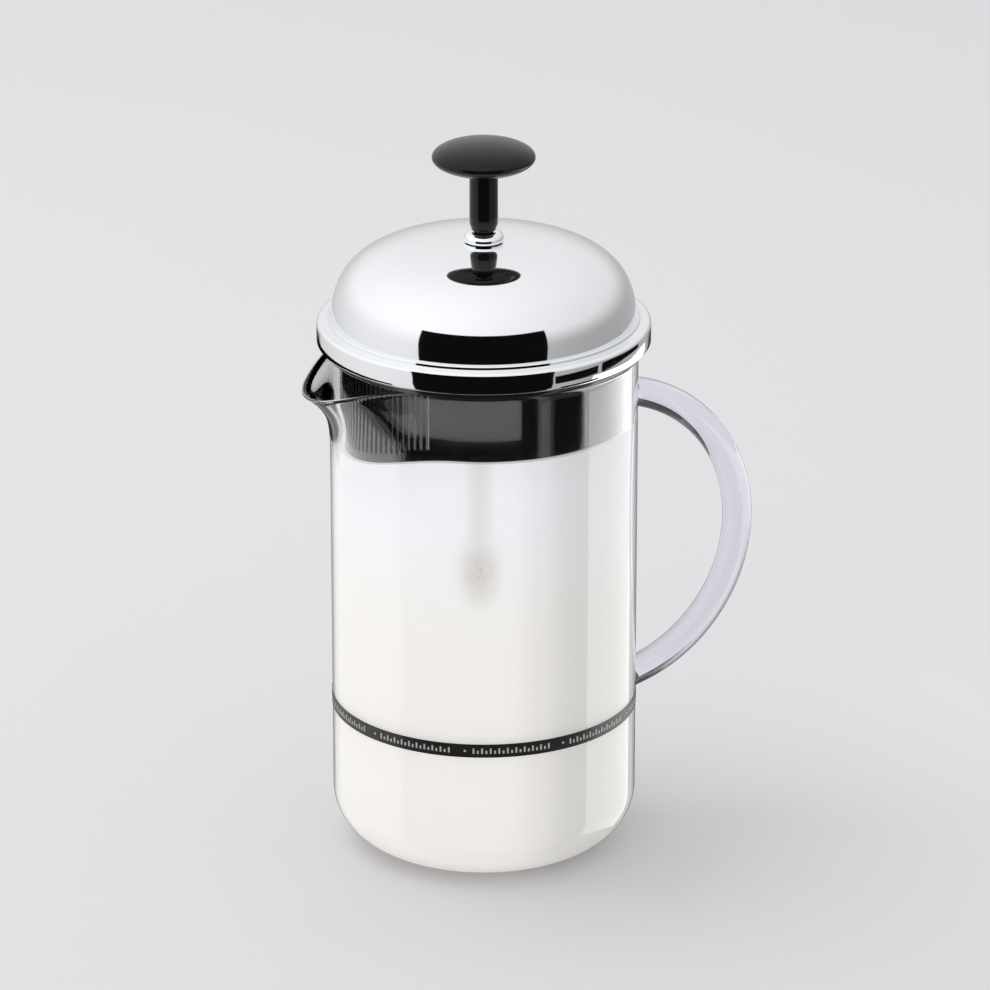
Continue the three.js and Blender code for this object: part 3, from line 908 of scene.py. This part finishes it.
class FROTHER_OT_guide(bpy.types.Operator):
    """Turn the guide bush with its bead, and its washer and nut"""

    bl_idname = "frother.guide"
    bl_label = "Guide bush"

    def execute(self, context):
        lowest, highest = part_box("guide_bush")
        stem_r = 3.5 * MM
        bead_low = high("lid_dome").z + 0.06 * MM
        bead_top = highest.z
        round_r = 1.65 * MM
        neck = 0.35 * MM
        bush = turn("guide_bead", [
            (BORE_R, lowest.z + neck),
            (BORE_R + neck, lowest.z),
            (stem_r - neck, lowest.z),
            (stem_r, lowest.z + neck),
            *run((stem_r, lowest.z + neck), (stem_r, bead_low), 4),
            *arc(highest.y - round_r, bead_top - round_r, round_r, -16, 90, 22),
            (BORE_R + neck, bead_top),
            (BORE_R, bead_top - neck),
        ])
        finish_piece(bush, "guide_bead", chrome_material(), "guide", "polished_chrome", "guide_bush")
        low_z, high_z = low("guide_washer").z, high("guide_washer").z
        ring = washer("bush_washer", low_z, high_z, stem_r + 0.25 * MM, high("guide_washer").y)
        finish_piece(ring, "bush_washer", steel_material(), "guide", "stainless_steel", "guide_washer")
        low_z, high_z = low("guide_nut").z, high("guide_nut").z
        hexagon = hex_nut("bush_nut", low_z, high_z - low_z, 11 * MM, stem_r + 0.2 * MM)
        finish_piece(hexagon, "bush_nut", steel_material(), "guide", "stainless_steel", "guide_nut")
        return {"FINISHED"}


# ---- Plunger ---------------------------------------------------------------------------------

class FROTHER_OT_knob(bpy.types.Operator):
    """Mould the lens-shaped knob and its sleeve, with the threaded insert inside"""

    bl_idname = "frother.knob"
    bl_label = "Knob and sleeve"

    def execute(self, context):
        lowest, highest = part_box("knob")
        sleeve_low, sleeve_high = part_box("knob_sleeve")
        knob_r = highest.y
        sleeve_r = sleeve_high.y
        middle = (lowest.z + highest.z) / 2
        half = (highest.z - lowest.z) / 2
        bore = sleeve_r + 0.12 * MM
        roof = high("knob_insert").z + 0.3 * MM
        steps = 56
        start = math.acos(bore / knob_r)
        profile = [(0, roof), (bore, roof)]
        for i in range(steps + 1):
            angle = -start + (start + math.pi / 2) * i / steps
            r = knob_r * math.cos(angle) if i < steps else 0
            profile.append((r, middle + half * math.sin(angle)))
        knob = turn("knob_shell", profile, 128)
        finish_piece(knob, "knob_shell", black_material(), "plunger", "black_plastic", "knob", angle=40)

        chamfer = 1.5 * MM
        inset = 0.5 * MM
        edge = 0.2 * MM
        foot = sleeve_low.z
        sleeve = turn("sleeve_tube", [
            (BORE_R, foot + edge),
            (BORE_R + edge, foot),
            (sleeve_r - inset - edge, foot),
            (sleeve_r - inset, foot + edge),
            *run((sleeve_r - inset, foot + edge), (sleeve_r - edge * 0.3, foot + chamfer), 4),
            (sleeve_r, foot + chamfer + edge),
            *run((sleeve_r, foot + chamfer + edge), (sleeve_r, sleeve_high.z), 5),
            (BORE_R, sleeve_high.z),
        ])
        finish_piece(sleeve, "sleeve_tube", black_material(), "sleeve", "black_plastic", "knob_sleeve",
                     angle=25)

        bottom, top = low("knob_insert").z, high("knob_insert").z
        insert_r = high("knob_insert").y
        groove = (top - bottom) / 6
        waist = insert_r - 0.5 * MM
        insert = turn("thread_insert", [
            (BORE_R, bottom),
            (insert_r, bottom),
            (insert_r, bottom + groove * 2),
            (waist, bottom + groove * 2.5),
            (waist, bottom + groove * 3.5),
            (insert_r, bottom + groove * 4),
            (insert_r, top),
            (BORE_R, top),
        ])
        finish_piece(insert, "thread_insert", brass_material(), "plunger", "brass", "knob_insert")
        return {"FINISHED"}


class FROTHER_OT_rod(bpy.types.Operator):
    """Draw the plunger rod and cut its threads"""

    bl_idname = "frother.rod"
    bl_label = "Plunger rod"

    def execute(self, context):
        lowest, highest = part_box("plunger_rod")
        pitch = 0.7 * MM
        depth = 0.28 * MM
        tip = 0.4 * MM

        def thread(start, turns):
            points = []
            for i in range(turns):
                bottom = start + pitch * i
                points += [(ROD_R - depth, bottom), (ROD_R, bottom + pitch * 0.4),
                           (ROD_R, bottom + pitch * 0.6), (ROD_R - depth, bottom + pitch)]
            return points

        upper_turns = 6
        lower_turns = 15
        upper_start = highest.z - tip - upper_turns * pitch
        rod = turn("rod", [
            (0, lowest.z),
            (ROD_R - tip, lowest.z),
            *thread(lowest.z + tip, lower_turns),
            (ROD_R, lowest.z + tip + lower_turns * pitch + depth),
            (ROD_R, upper_start - depth),
            *thread(upper_start, upper_turns),
            (ROD_R - tip, highest.z),
            (0, highest.z),
        ], 48)
        finish_piece(rod, "rod", steel_material(), "plunger", "stainless_steel", "plunger_rod", angle=25)
        return {"FINISHED"}


# ---- Frothing head ---------------------------------------------------------------------------

def window_cutters(count, inner_r, outer_r, half_angle, bottom, top):
    """Kidney-shaped windows round the axis, as one mesh that cuts right through a plate."""
    over = 1 * MM
    middle_r = (inner_r + outer_r) / 2
    deselect()
    bpy.ops.mesh.primitive_plane_add(size=1, location=(middle_r, 0, (bottom + top) / 2),
                                     rotation=(math.pi / 2, 0, 0))
    window = bpy.context.object
    window.scale = (outer_r - inner_r, top - bottom + 2 * over, 1)
    bpy.ops.object.transform_apply(location=True, rotation=True, scale=True)
    bpy.ops.object.mode_set(mode="EDIT")
    bpy.ops.mesh.select_all(action="SELECT")
    bpy.ops.transform.rotate(value=half_angle, orient_axis="Z", center_override=(0, 0, 0))
    bpy.ops.mesh.spin(steps=16, angle=-2 * half_angle, center=(0, 0, 0), axis=(0, 0, 1))
    merge_doubles(window)
    soften(window, 1.6 * MM, segments=4, angle=60)
    copy_round(window, count - 1, 2 * math.pi * (count - 1) / count)
    return window


def pressed_plate(name, bottom, top, radius, count, inner_r, outer_r, half_angle):
    """A round plate with a bore, a raised ring pressed in near the edge, and windows."""
    rise = 0.12 * MM
    disc = turn(name, [
        (BORE_R, bottom),
        (radius - 0.2 * MM, bottom),
        (radius, bottom + 0.2 * MM),
        (radius, top - 0.2 * MM),
        (radius - 0.2 * MM, top),
        (radius - 1.4 * MM, top),
        (radius - 1.8 * MM, top + rise),
        (radius - 2.4 * MM, top + rise),
        (radius - 2.8 * MM, top),
        (BORE_R + 6 * MM, top),
        (BORE_R + 5.6 * MM, top + rise),
        (BORE_R, top + rise),
    ], ROUND)
    combine(disc, window_cutters(count, inner_r, outer_r, half_angle, bottom, top), "DIFFERENCE")
    return disc


def woven_screen(radius, middle_z):
    """Two sets of wavy wires that pass over and under each other, cut to a round outline."""
    s = sizes()
    pitch = s.wire_pitch
    count = int(radius // pitch)
    wave = s.wire * 0.5
    strands = []
    for across in (0, 1):
        side = 2 * count + 1
        deselect()
        bpy.ops.mesh.primitive_grid_add(x_subdivisions=2 * (side - 1), y_subdivisions=side - 1,
                                        size=2 * count * pitch, location=(0, 0, middle_z))
        grid = bpy.context.object
        bpy.ops.object.transform_apply(location=True, rotation=True, scale=True)
        for vertex in grid.data.vertices:
            column = vertex.co.x / pitch
            row = round(vertex.co.y / pitch) + across
            lift = math.cos(math.pi * column) * (1 if row % 2 == 0 else -1)
            vertex.co.z += wave * lift
        keep_wires(grid, radius, pitch)
        if across:
            grid.rotation_euler = (0, 0, math.pi / 2)
            pick(grid)
            bpy.ops.object.transform_apply(location=True, rotation=True, scale=True)
        strands.append(as_wire(grid, s.wire, 1))
    return join(strands)


def keep_wires(grid, radius, pitch):
    """Keeps a grid's edges along X inside a round outline, and nothing else."""
    clear = BORE_R + 0.4 * MM
    pick(grid)
    bpy.ops.object.mode_set(mode="EDIT")
    bpy.ops.mesh.select_mode(type="EDGE")
    bpy.ops.mesh.select_all(action="DESELECT")
    bpy.ops.object.mode_set(mode="OBJECT")
    points = grid.data.vertices
    for edge in grid.data.edges:
        a, b = (points[i].co for i in edge.vertices)
        cross = abs(a.y - b.y) > pitch * 0.5
        outside = max(a.xy.length, b.xy.length) > radius
        bored = min(a.xy.length, b.xy.length) < clear
        edge.select = cross or outside or bored
    bpy.ops.object.mode_set(mode="EDIT")
    bpy.ops.mesh.delete(type="EDGE")
    bpy.ops.mesh.select_all(action="SELECT")
    bpy.ops.mesh.delete(type="ONLY_FACE")
    bpy.ops.mesh.select_all(action="DESELECT")
    bpy.ops.mesh.select_mode(type="VERT")
    bpy.ops.mesh.select_loose()
    bpy.ops.mesh.delete(type="VERT")
    bpy.ops.object.mode_set(mode="OBJECT")


def as_wire(obj, thickness, resolution):
    """Makes round closed wire of a mesh of edges."""
    pick(obj)
    bpy.ops.object.convert(target="CURVE")
    curve = bpy.context.object
    curve.data.bevel_depth = thickness / 2
    curve.data.bevel_resolution = resolution
    curve.data.use_fill_caps = True
    bpy.ops.object.convert(target="MESH")
    made = bpy.context.object
    merge_doubles(made, 0.0005 * MM)
    return made


def coil_ring(ring_r, coil_r, middle_z, thickness, turns):
    """A coil spring closed into a ring."""
    per_turn = 10
    deselect()
    bpy.ops.mesh.primitive_circle_add(vertices=turns * per_turn, radius=ring_r, location=(0, 0, middle_z))
    coil = bpy.context.object
    bpy.ops.object.transform_apply(location=True, rotation=True, scale=True)
    for vertex in coil.data.vertices:
        around = math.atan2(vertex.co.y, vertex.co.x)
        turned = around * turns
        grow = (ring_r + coil_r * math.cos(turned)) / ring_r
        vertex.co.x *= grow
        vertex.co.y *= grow
        vertex.co.z += coil_r * math.sin(turned)
    return as_wire(coil, thickness, 1)


class FROTHER_OT_head(bpy.types.Operator):
    """Assemble the frothing head: hub, plates, woven screen, rim and edge spring"""

    bl_idname = "frother.head"
    bl_label = "Frothing head"

    def execute(self, context):
        steel = steel_material()

        def fit(piece, name, slot, cad_node):
            finish_piece(piece, name, steel, "plunger", slot, cad_node)

        lowest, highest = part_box("head_hub")
        boss_r = 4.5 * MM
        flange = 1.2 * MM
        edge = 0.3 * MM
        floor = low("plunger_rod").z - 0.3 * MM
        hub = turn("hub", [
            (0, lowest.z),
            (boss_r - 3 * edge, lowest.z),
            *arc(boss_r - 2 * edge, lowest.z + 2 * edge, 2 * edge, 285, 360, 4),
            (boss_r, highest.z - flange - edge),
            (boss_r + edge, highest.z - flange),
            (highest.y - edge, highest.z - flange),
            (highest.y, highest.z - flange + edge),
            (highest.y, highest.z - edge),
            (highest.y - edge, highest.z),
            (BORE_R, highest.z),
            (BORE_R, floor),
            (0, floor),
        ])
        fit(hub, "hub", "stainless_steel", "head_hub")

        plate_r = high("cross_plate").y
        cross = pressed_plate("lower_plate", low("cross_plate").z, high("cross_plate").z, plate_r,
                              4, 11 * MM, 26 * MM, 0.6)
        fit(cross, "lower_plate", "stainless_steel", "cross_plate")
        top = pressed_plate("upper_plate", low("top_plate").z, high("top_plate").z, plate_r,
                            6, 12 * MM, 25 * MM, 0.38)
        fit(top, "upper_plate", "stainless_steel", "top_plate")

        screen_z = (low("mesh_screen").z + high("mesh_screen").z) / 2
        screen = woven_screen(plate_r + 0.4 * MM, screen_z)
        fit(screen, "woven_screen", "wire_mesh", "mesh_screen")

        rim_low, rim_high = low("screen_rim").z, high("screen_rim").z
        rim_out = high("screen_rim").y
        rim_in = plate_r + 0.2 * MM
        lip = 0.3 * MM
        rim = turn("crimped_rim", [
            (rim_in, rim_low),
            *arc(rim_out - lip, rim_low + lip, lip, 270, 360, 4),
            *arc(rim_out - lip, rim_high - lip, lip, 0, 90, 4),
            (rim_in, rim_high),
            (rim_in, rim_high - lip),
            (rim_out - 2 * lip, rim_high - lip),
            (rim_out - 2 * lip, rim_low + lip),
            (rim_in, rim_low + lip),
        ], ROUND)
        fit(rim, "crimped_rim", "stainless_steel", "screen_rim")

        spring_low, spring_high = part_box("edge_spring")
        wire = 0.42 * MM
        coil_r = (spring_high.z - spring_low.z) / 2 - wire / 2
        ring_r = spring_high.y - coil_r - wire / 2
        spring = coil_ring(ring_r, coil_r, (spring_low.z + spring_high.z) / 2, wire, sizes().spring_turns)
        fit(spring, "coil_spring", "stainless_steel", "edge_spring")

        washer_low, washer_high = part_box("head_washer")
        ring = washer("rod_washer", washer_low.z, washer_high.z, BORE_R, washer_high.y)
        fit(ring, "rod_washer", "stainless_steel", "head_washer")
        nut_low, nut_high = low("rod_locknut").z, high("rod_locknut").z
        locknut = hex_nut("locknut", nut_low, nut_high - nut_low, 7 * MM, ROD_R + 0.1 * MM)
        fit(locknut, "locknut", "stainless_steel", "rod_locknut")
        return {"FINISHED"}


# ---- Stage -----------------------------------------------------------------------------------

def camera_axes():
    """The camera's right, and the level direction from the frother towards the camera."""
    azimuth = math.radians(studio().azimuth)
    return (math.cos(azimuth), math.sin(azimuth), 0), (math.sin(azimuth), -math.cos(azimuth), 0)


def rod_shade(tree, side, towards, height, bubbles):
    """The rod's soft upright shade in the froth, with a rounder patch at its foot."""
    patch_height = 80 * MM
    flatten = 0.55
    off_line = calculate(tree, "ABSOLUTE", calculate(tree, "ADD", side, 1.0 * MM))
    above_foot = fade(tree, height, 76 * MM, 86 * MM, 0.0, 1.0)
    streak = calculate(tree, "MULTIPLY", fade(tree, off_line, 0.4 * MM, 4.5 * MM, 0.55, 0.0), above_foot)
    off_height = calculate(tree, "MULTIPLY_ADD", height, flatten, -flatten * patch_height)
    across_squared = calculate(tree, "MULTIPLY", off_line, off_line)
    up_squared = calculate(tree, "MULTIPLY", off_height, off_height)
    reach = calculate(tree, "POWER", calculate(tree, "ADD", across_squared, up_squared), 0.5)
    patch = fade(tree, reach, 0.3 * MM, 7.0 * MM, 1.0, 0.0)
    grain = fade(tree, bubbles, 0.35, 0.65, 0.55, 1.0)
    shade = calculate(tree, "MULTIPLY", calculate(tree, "MAXIMUM", streak, patch), grain)
    return calculate(tree, "MULTIPLY", shade, fade(tree, towards, 0.0, 20 * MM, 0.0, 0.9))


def milk_material():
    """Milk below, froth above, with a soft uneven border, the rod's faint painted shade in the froth,
    painted shade towards the camera's right and a painted glow.
    """
    c = colours()
    right, front = camera_axes()
    material = bpy.data.materials.new("milk and froth")
    material.use_nodes = True
    tree = material.node_tree
    link = tree.links.new
    shader = tree.nodes["Principled BSDF"]
    shader.inputs["Roughness"].default_value = 0.6
    place = node(tree, "ShaderNodeTexCoord", spot(tree)).outputs["Object"]
    split = node(tree, "ShaderNodeSeparateXYZ", spot(tree))
    link(place, split.inputs["Vector"])
    height = split.outputs["Z"]

    def noise(scale):
        made = node(tree, "ShaderNodeTexNoise", spot(tree))
        made.inputs["Scale"].default_value = scale
        made.inputs["Detail"].default_value = 3
        link(place, made.inputs["Vector"])
        return made.outputs["Fac"]

    bubbles = noise(1400)
    side = along(tree, place, right)
    drift = calculate(tree, "MULTIPLY_ADD", noise(30), 16 * MM, -8 * MM)
    froth_share = fade(tree, calculate(tree, "ADD", drift, height), 61.6 * MM, 87.6 * MM, 0.0, 1.0)
    tone = blend(tree, froth_share, (*c.milk, 1), (*c.froth, 1))
    shade = rod_shade(tree, side, along(tree, place, front), height, bubbles)
    shaded = blend(tree, shade, tone, (*c.shade, 1))
    speckle = calculate(tree, "MULTIPLY", fade(tree, bubbles, 0.3, 0.7, -0.03, 0.03), froth_share)
    # Painted shade: the milk and froth darken towards the camera's right side, down to 0.78 of their tone.
    turned = fade(tree, side, 4 * MM, 22 * MM, 1.0, 0.78)
    gain = calculate(tree, "MULTIPLY", turned, calculate(tree, "ADD", speckle, 1.0))
    finished = node(tree, "ShaderNodeVectorMath", spot(tree), operation="SCALE")
    link(shaded, finished.inputs[0])
    link(gain, finished.inputs["Scale"])
    link(finished.outputs["Vector"], shader.inputs["Base Color"])
    # Painted light: the milk's colour is also its glow, full for the camera and glossy rays and 0.4 of that
    # after a bounce off a dull surface.
    link(finished.outputs["Vector"], shader.inputs["Emission Color"])
    bounces = node(tree, "ShaderNodeLightPath", spot(tree)).outputs["Diffuse Depth"]
    glow = studio().milk_painted_glow
    link(fade(tree, bounces, 0.0, 1.0, glow, 0.4 * glow), shader.inputs["Emission Strength"])
    return material


def pour_milk():
    """Milk and froth in the jug. It isn't part of the frother, so it belongs to the stage."""
    s = sizes()
    corner = s.jug_corner - JUG_WALL
    sunk = 0.03 * MM        # how deep the milk's skin lies in the glass, so that no gap shows
    wet_r = JUG_INNER_R + sunk
    floor = s.jug_floor - sunk
    edge = s.collar_low - 0.25 * MM
    inside_r = 31.9 * MM
    milk = turn("milk", [
        (0, floor),
        *arc(wet_r - corner, floor + corner, corner, -90, 0, 12),
        *run((wet_r, floor + corner), (wet_r, edge), 20),
        (inside_r, edge),
        (inside_r, edge + 3 * MM),
        (0, edge + 3.5 * MM),
    ], ROUND)
    depth = s.collar_low - low("lid_insert").z
    start = 93.6 * MM

    def hang(point):
        return spout_lobe(point, 55) * max(0.0, min(1.0, (point.z - start) / (edge - start)))

    push(milk, weight_group(milk, "edge", hang), "Z", -depth)
    smooth(milk, 40)
    milk.data.materials.append(milk_material())


def floor_material():
    return handled_material("studio floor", colours().floor, 0.85, 0.05, 0.1, 0.0, mottle=0.02,
                            mottle_scale=3)


def lay_floor():
    deselect()
    bpy.ops.mesh.primitive_plane_add(size=6, location=(0, 0, 0))
    floor = bpy.context.object
    floor.name = "floor"
    floor.data.materials.append(floor_material())
    floor.visible_glossy = False


def card_material(name, brightness, refracted=None):
    """A card for reflections. Refraction sees it at its own brightness, or not at all."""
    material = bpy.data.materials.new(name)
    material.use_nodes = True
    material.cycles.emission_sampling = "NONE"
    tree = material.node_tree
    tree.nodes.clear()
    link = tree.links.new
    path = node(tree, "ShaderNodeLightPath", spot(tree))
    dull = calculate(tree, "GREATER_THAN", path.outputs["Diffuse Depth"], 0.5)
    direct = calculate(tree, "LESS_THAN", path.outputs["Glossy Depth"], 0.5)
    glow = node(tree, "ShaderNodeEmission", spot(tree))
    if refracted is None:
        hidden = calculate(tree, "MAXIMUM", dull, direct)
        glow.inputs["Strength"].default_value = brightness
    else:
        hidden = dull
        change = refracted - brightness
        link(calculate(tree, "MULTIPLY_ADD", direct, change, brightness), glow.inputs["Strength"])
    clear = node(tree, "ShaderNodeBsdfTransparent", spot(tree))
    choice = node(tree, "ShaderNodeMixShader", spot(tree))
    out = node(tree, "ShaderNodeOutputMaterial", spot(tree))
    link(hidden, choice.inputs["Fac"])
    link(glow.outputs["Emission"], choice.inputs[1])
    link(clear.outputs["BSDF"], choice.inputs[2])
    link(choice.outputs["Shader"], out.inputs["Surface"])
    return material


def hang_card(name, material, radius, heights, angles, through_glass=True):
    """An upright card bent round the frother, between two angles from the camera's side, in degrees."""
    deselect()
    bpy.ops.mesh.primitive_grid_add(x_subdivisions=48, y_subdivisions=1, size=1)
    card = bpy.context.object
    card.name = name
    bottom, top = heights
    left, right = angles
    for vertex in card.data.vertices:
        share = vertex.co.x + 0.5
        angle = math.radians(studio().azimuth - 90 + left + (right - left) * share)
        height = top if vertex.co.y > 0 else bottom
        vertex.co = Vector((radius * math.cos(angle), radius * math.sin(angle), height))
    card.data.materials.append(material)
    card.visible_camera = False
    card.visible_diffuse = False
    card.visible_shadow = False
    card.visible_transmission = through_glass


def hang_cards():
    """The dark, grey and white cards that give glass, chrome and plastic their edges."""
    black = card_material("black card", 0.004)
    grey = card_material("grey card", 0.42)
    white = card_material("white card", 1.0)
    bright = card_material("bright card", 2.0)
    flag = card_material("flag card", 0.004, refracted=0.01)
    near = 60 * MM
    far = 150 * MM
    below = -100 * MM
    collar = (below, 113 * MM)
    glass = (below, 102.3 * MM)
    slots = (98.5 * MM, 113 * MM)
    hang_card("low_card", black, near, glass, (-46, 20.8))
    hang_card("slot_card", black, near, slots, (-125, -46))
    hang_card("side_card", black, near, collar, (20.8, 30.7))
    hang_card("strip_card", grey, near, collar, (30.7, 38))
    hang_card("far_side_card", black, near, collar, (38, 61))
    hang_card("left_softbox", white, far, (below, 70 * MM), (-132, -61))
    hang_card("right_softbox", bright, far, (below, 80.6 * MM), (72, 132))
    hang_card("back_card", flag, 45 * MM, (0, 100 * MM), (130, 230))
    chrome_only = {"through_glass": False}
    hang_card("front_card", black, 250 * MM, (below, 226 * MM), (-46, 45), **chrome_only)
    hang_card("streak_card", black, near, (117.4 * MM, 120.4 * MM), (34, 59), **chrome_only)
    hang_card("far_streak_card", black, near, (117.0 * MM, 121.0 * MM), (61.5, 96), **chrome_only)


def hang_softbox(name, place, side, power):
    """A square area lamp aimed at the frother's foot. Gloss and glass don't see it."""
    bpy.ops.object.light_add(type="AREA", location=place)
    lamp = bpy.context.object
    lamp.name = name
    lamp.data.shape = "RECTANGLE"
    lamp.data.size = side
    lamp.data.size_y = side
    lamp.data.energy = power
    lamp.rotation_euler = (-Vector(place)).to_track_quat("-Z", "Y").to_euler()
    lamp.visible_glossy = False
    lamp.visible_transmission = False


def tent_brightness(tree, right, front, up):
    """The tent as gloss sees it: brightest overhead and on the left, dimmer low down and on the right."""
    tent = calculate(tree, "MULTIPLY_ADD", right, -0.15, 0.88)
    tent = calculate(tree, "MULTIPLY_ADD", front, 0.06, tent)
    tent = calculate(tree, "MULTIPLY_ADD", up, 0.11, tent)
    low_share = calculate(tree, "MULTIPLY_ADD", right, -0.16, 0.70)
    return calculate(tree, "MULTIPLY", tent, fade(tree, up, -0.10, 0.36, low_share, 1.0))


def tent_darkness(tree, right, front, up, refracted):
    """Where the tent is dark: low behind for grazing gloss, and all low behind for refraction."""
    grazing = fade(tree, front, -0.90, -0.80, 1.0, 0.0)
    outline = calculate(tree, "MULTIPLY", grazing, fade(tree, up, -0.36, -0.27, 1.0, 0.0))
    behind = fade(tree, front, -0.4, -0.15, 1.0, 0.0)
    horizon = calculate(tree, "MULTIPLY", behind, fade(tree, up, 0.48, 0.66, 1.0, 0.0))
    horizon = calculate(tree, "MULTIPLY", horizon, refracted)
    horizon = calculate(tree, "MULTIPLY", horizon, fade(tree, right, -0.45, -0.15, 0.0, 1.0))
    return calculate(tree, "MAXIMUM", outline, horizon)


def light_world():
    """A white tent. Dull surfaces see it evenly bright, and gloss and glass see it shaded."""
    world = bpy.data.worlds.new("studio")
    bpy.context.scene.world = world
    world.use_nodes = True
    world.cycles.sampling_method = "NONE"
    tree = world.node_tree
    tree.nodes.clear()
    link = tree.links.new
    direction = node(tree, "ShaderNodeTexCoord", spot(tree)).outputs["Generated"]
    path = node(tree, "ShaderNodeLightPath", spot(tree))
    camera_right, camera_front = camera_axes()
    right = along(tree, direction, camera_right)
    front = along(tree, direction, camera_front)
    up = along(tree, direction, (0, 0, 1))
    dark = tent_darkness(tree, right, front, up, path.outputs["Is Transmission Ray"])
    shaded = calculate(tree, "MULTIPLY", tent_brightness(tree, right, front, up),
                       fade(tree, dark, 0.0, 1.0, 1.0, 0.06))
    dull = calculate(tree, "GREATER_THAN", path.outputs["Diffuse Depth"], 0.5)
    shown = node(tree, "ShaderNodeMix", spot(tree), data_type="FLOAT")
    shown.inputs["B"].default_value = studio().ambient
    back = node(tree, "ShaderNodeBackground", spot(tree))
    back.inputs["Color"].default_value = (0.985, 0.99, 1.0, 1)
    out = node(tree, "ShaderNodeOutputWorld", spot(tree))
    link(dull, shown.inputs["Factor"])
    link(shaded, shown.inputs["A"])
    link(shown.outputs["Result"], back.inputs["Strength"])
    link(back.outputs["Background"], out.inputs["Surface"])


def set_camera():
    s = studio()
    azimuth = math.radians(s.azimuth)
    elevation = math.radians(s.elevation)
    right = Vector((math.cos(azimuth), math.sin(azimuth), 0))
    back = Vector((math.sin(azimuth) * math.cos(elevation), -math.cos(azimuth) * math.cos(elevation),
                   math.sin(elevation)))
    aim = Vector((0, 0, s.aim_height)) + right * s.aim_side
    bpy.ops.object.camera_add(location=aim + back * s.distance)
    camera = bpy.context.object
    camera.rotation_euler = (-back).to_track_quat("-Z", "Y").to_euler()
    camera.data.lens = s.lens
    camera.data.clip_start = 0.01
    camera.data.clip_end = 50
    bpy.context.scene.camera = camera


class FROTHER_OT_stage(bpy.types.Operator):
    """Set the floor, the milk, the lights and the camera"""

    bl_idname = "frother.stage"
    bl_label = "Stage"

    def execute(self, context):
        context.scene.view_settings.view_transform = "Standard"
        lay_floor()
        pour_milk()
        light_world()
        hang_cards()
        hang_softbox("overhead", (-0.36, 0.34, 0.95), 0.9, studio().overhead)
        set_camera()
        return {"FINISHED"}


# ---- Panel and start-up ----------------------------------------------------------------------

PIECE_OPERATORS = (
    FROTHER_OT_jug,
    FROTHER_OT_level_band,
    FROTHER_OT_lid,
    FROTHER_OT_strainer,
    FROTHER_OT_guide,
    FROTHER_OT_knob,
    FROTHER_OT_rod,
    FROTHER_OT_head,
    FROTHER_OT_stage,
)


class FROTHER_PT_panel(bpy.types.Panel):
    """Lists the frother's pieces, sizes and colours"""

    bl_idname = "FROTHER_PT_panel"
    bl_label = "Milk Frother"
    bl_space_type = "VIEW_3D"
    bl_region_type = "UI"
    bl_category = "Frother"

    def draw(self, context):
        layout = self.layout
        for operator in PIECE_OPERATORS:
            layout.operator(operator.bl_idname)
        for group in (sizes(), colours(), studio()):
            box = layout.box()
            for name in group.__annotations__:
                box.prop(group, name)


CLASSES = (FrotherSizes, FrotherColours, StudioSizes, *PIECE_OPERATORS, FROTHER_PT_panel)


def register():
    for cls in CLASSES:
        bpy.utils.register_class(cls)
    bpy.types.Scene.frother_sizes = PointerProperty(type=FrotherSizes)
    bpy.types.Scene.frother_colours = PointerProperty(type=FrotherColours)
    bpy.types.Scene.frother_studio = PointerProperty(type=StudioSizes)


def unregister():
    del bpy.types.Scene.frother_studio
    del bpy.types.Scene.frother_colours
    del bpy.types.Scene.frother_sizes
    for cls in reversed(CLASSES):
        bpy.utils.unregister_class(cls)


def main():
    register()
    bpy.ops.frother.jug()
    bpy.ops.frother.level_band()
    bpy.ops.frother.lid()
    bpy.ops.frother.strainer()
    bpy.ops.frother.guide()
    bpy.ops.frother.knob()
    bpy.ops.frother.rod()
    bpy.ops.frother.head()
    bpy.ops.frother.stage()


if __name__ == "__main__":
    main()
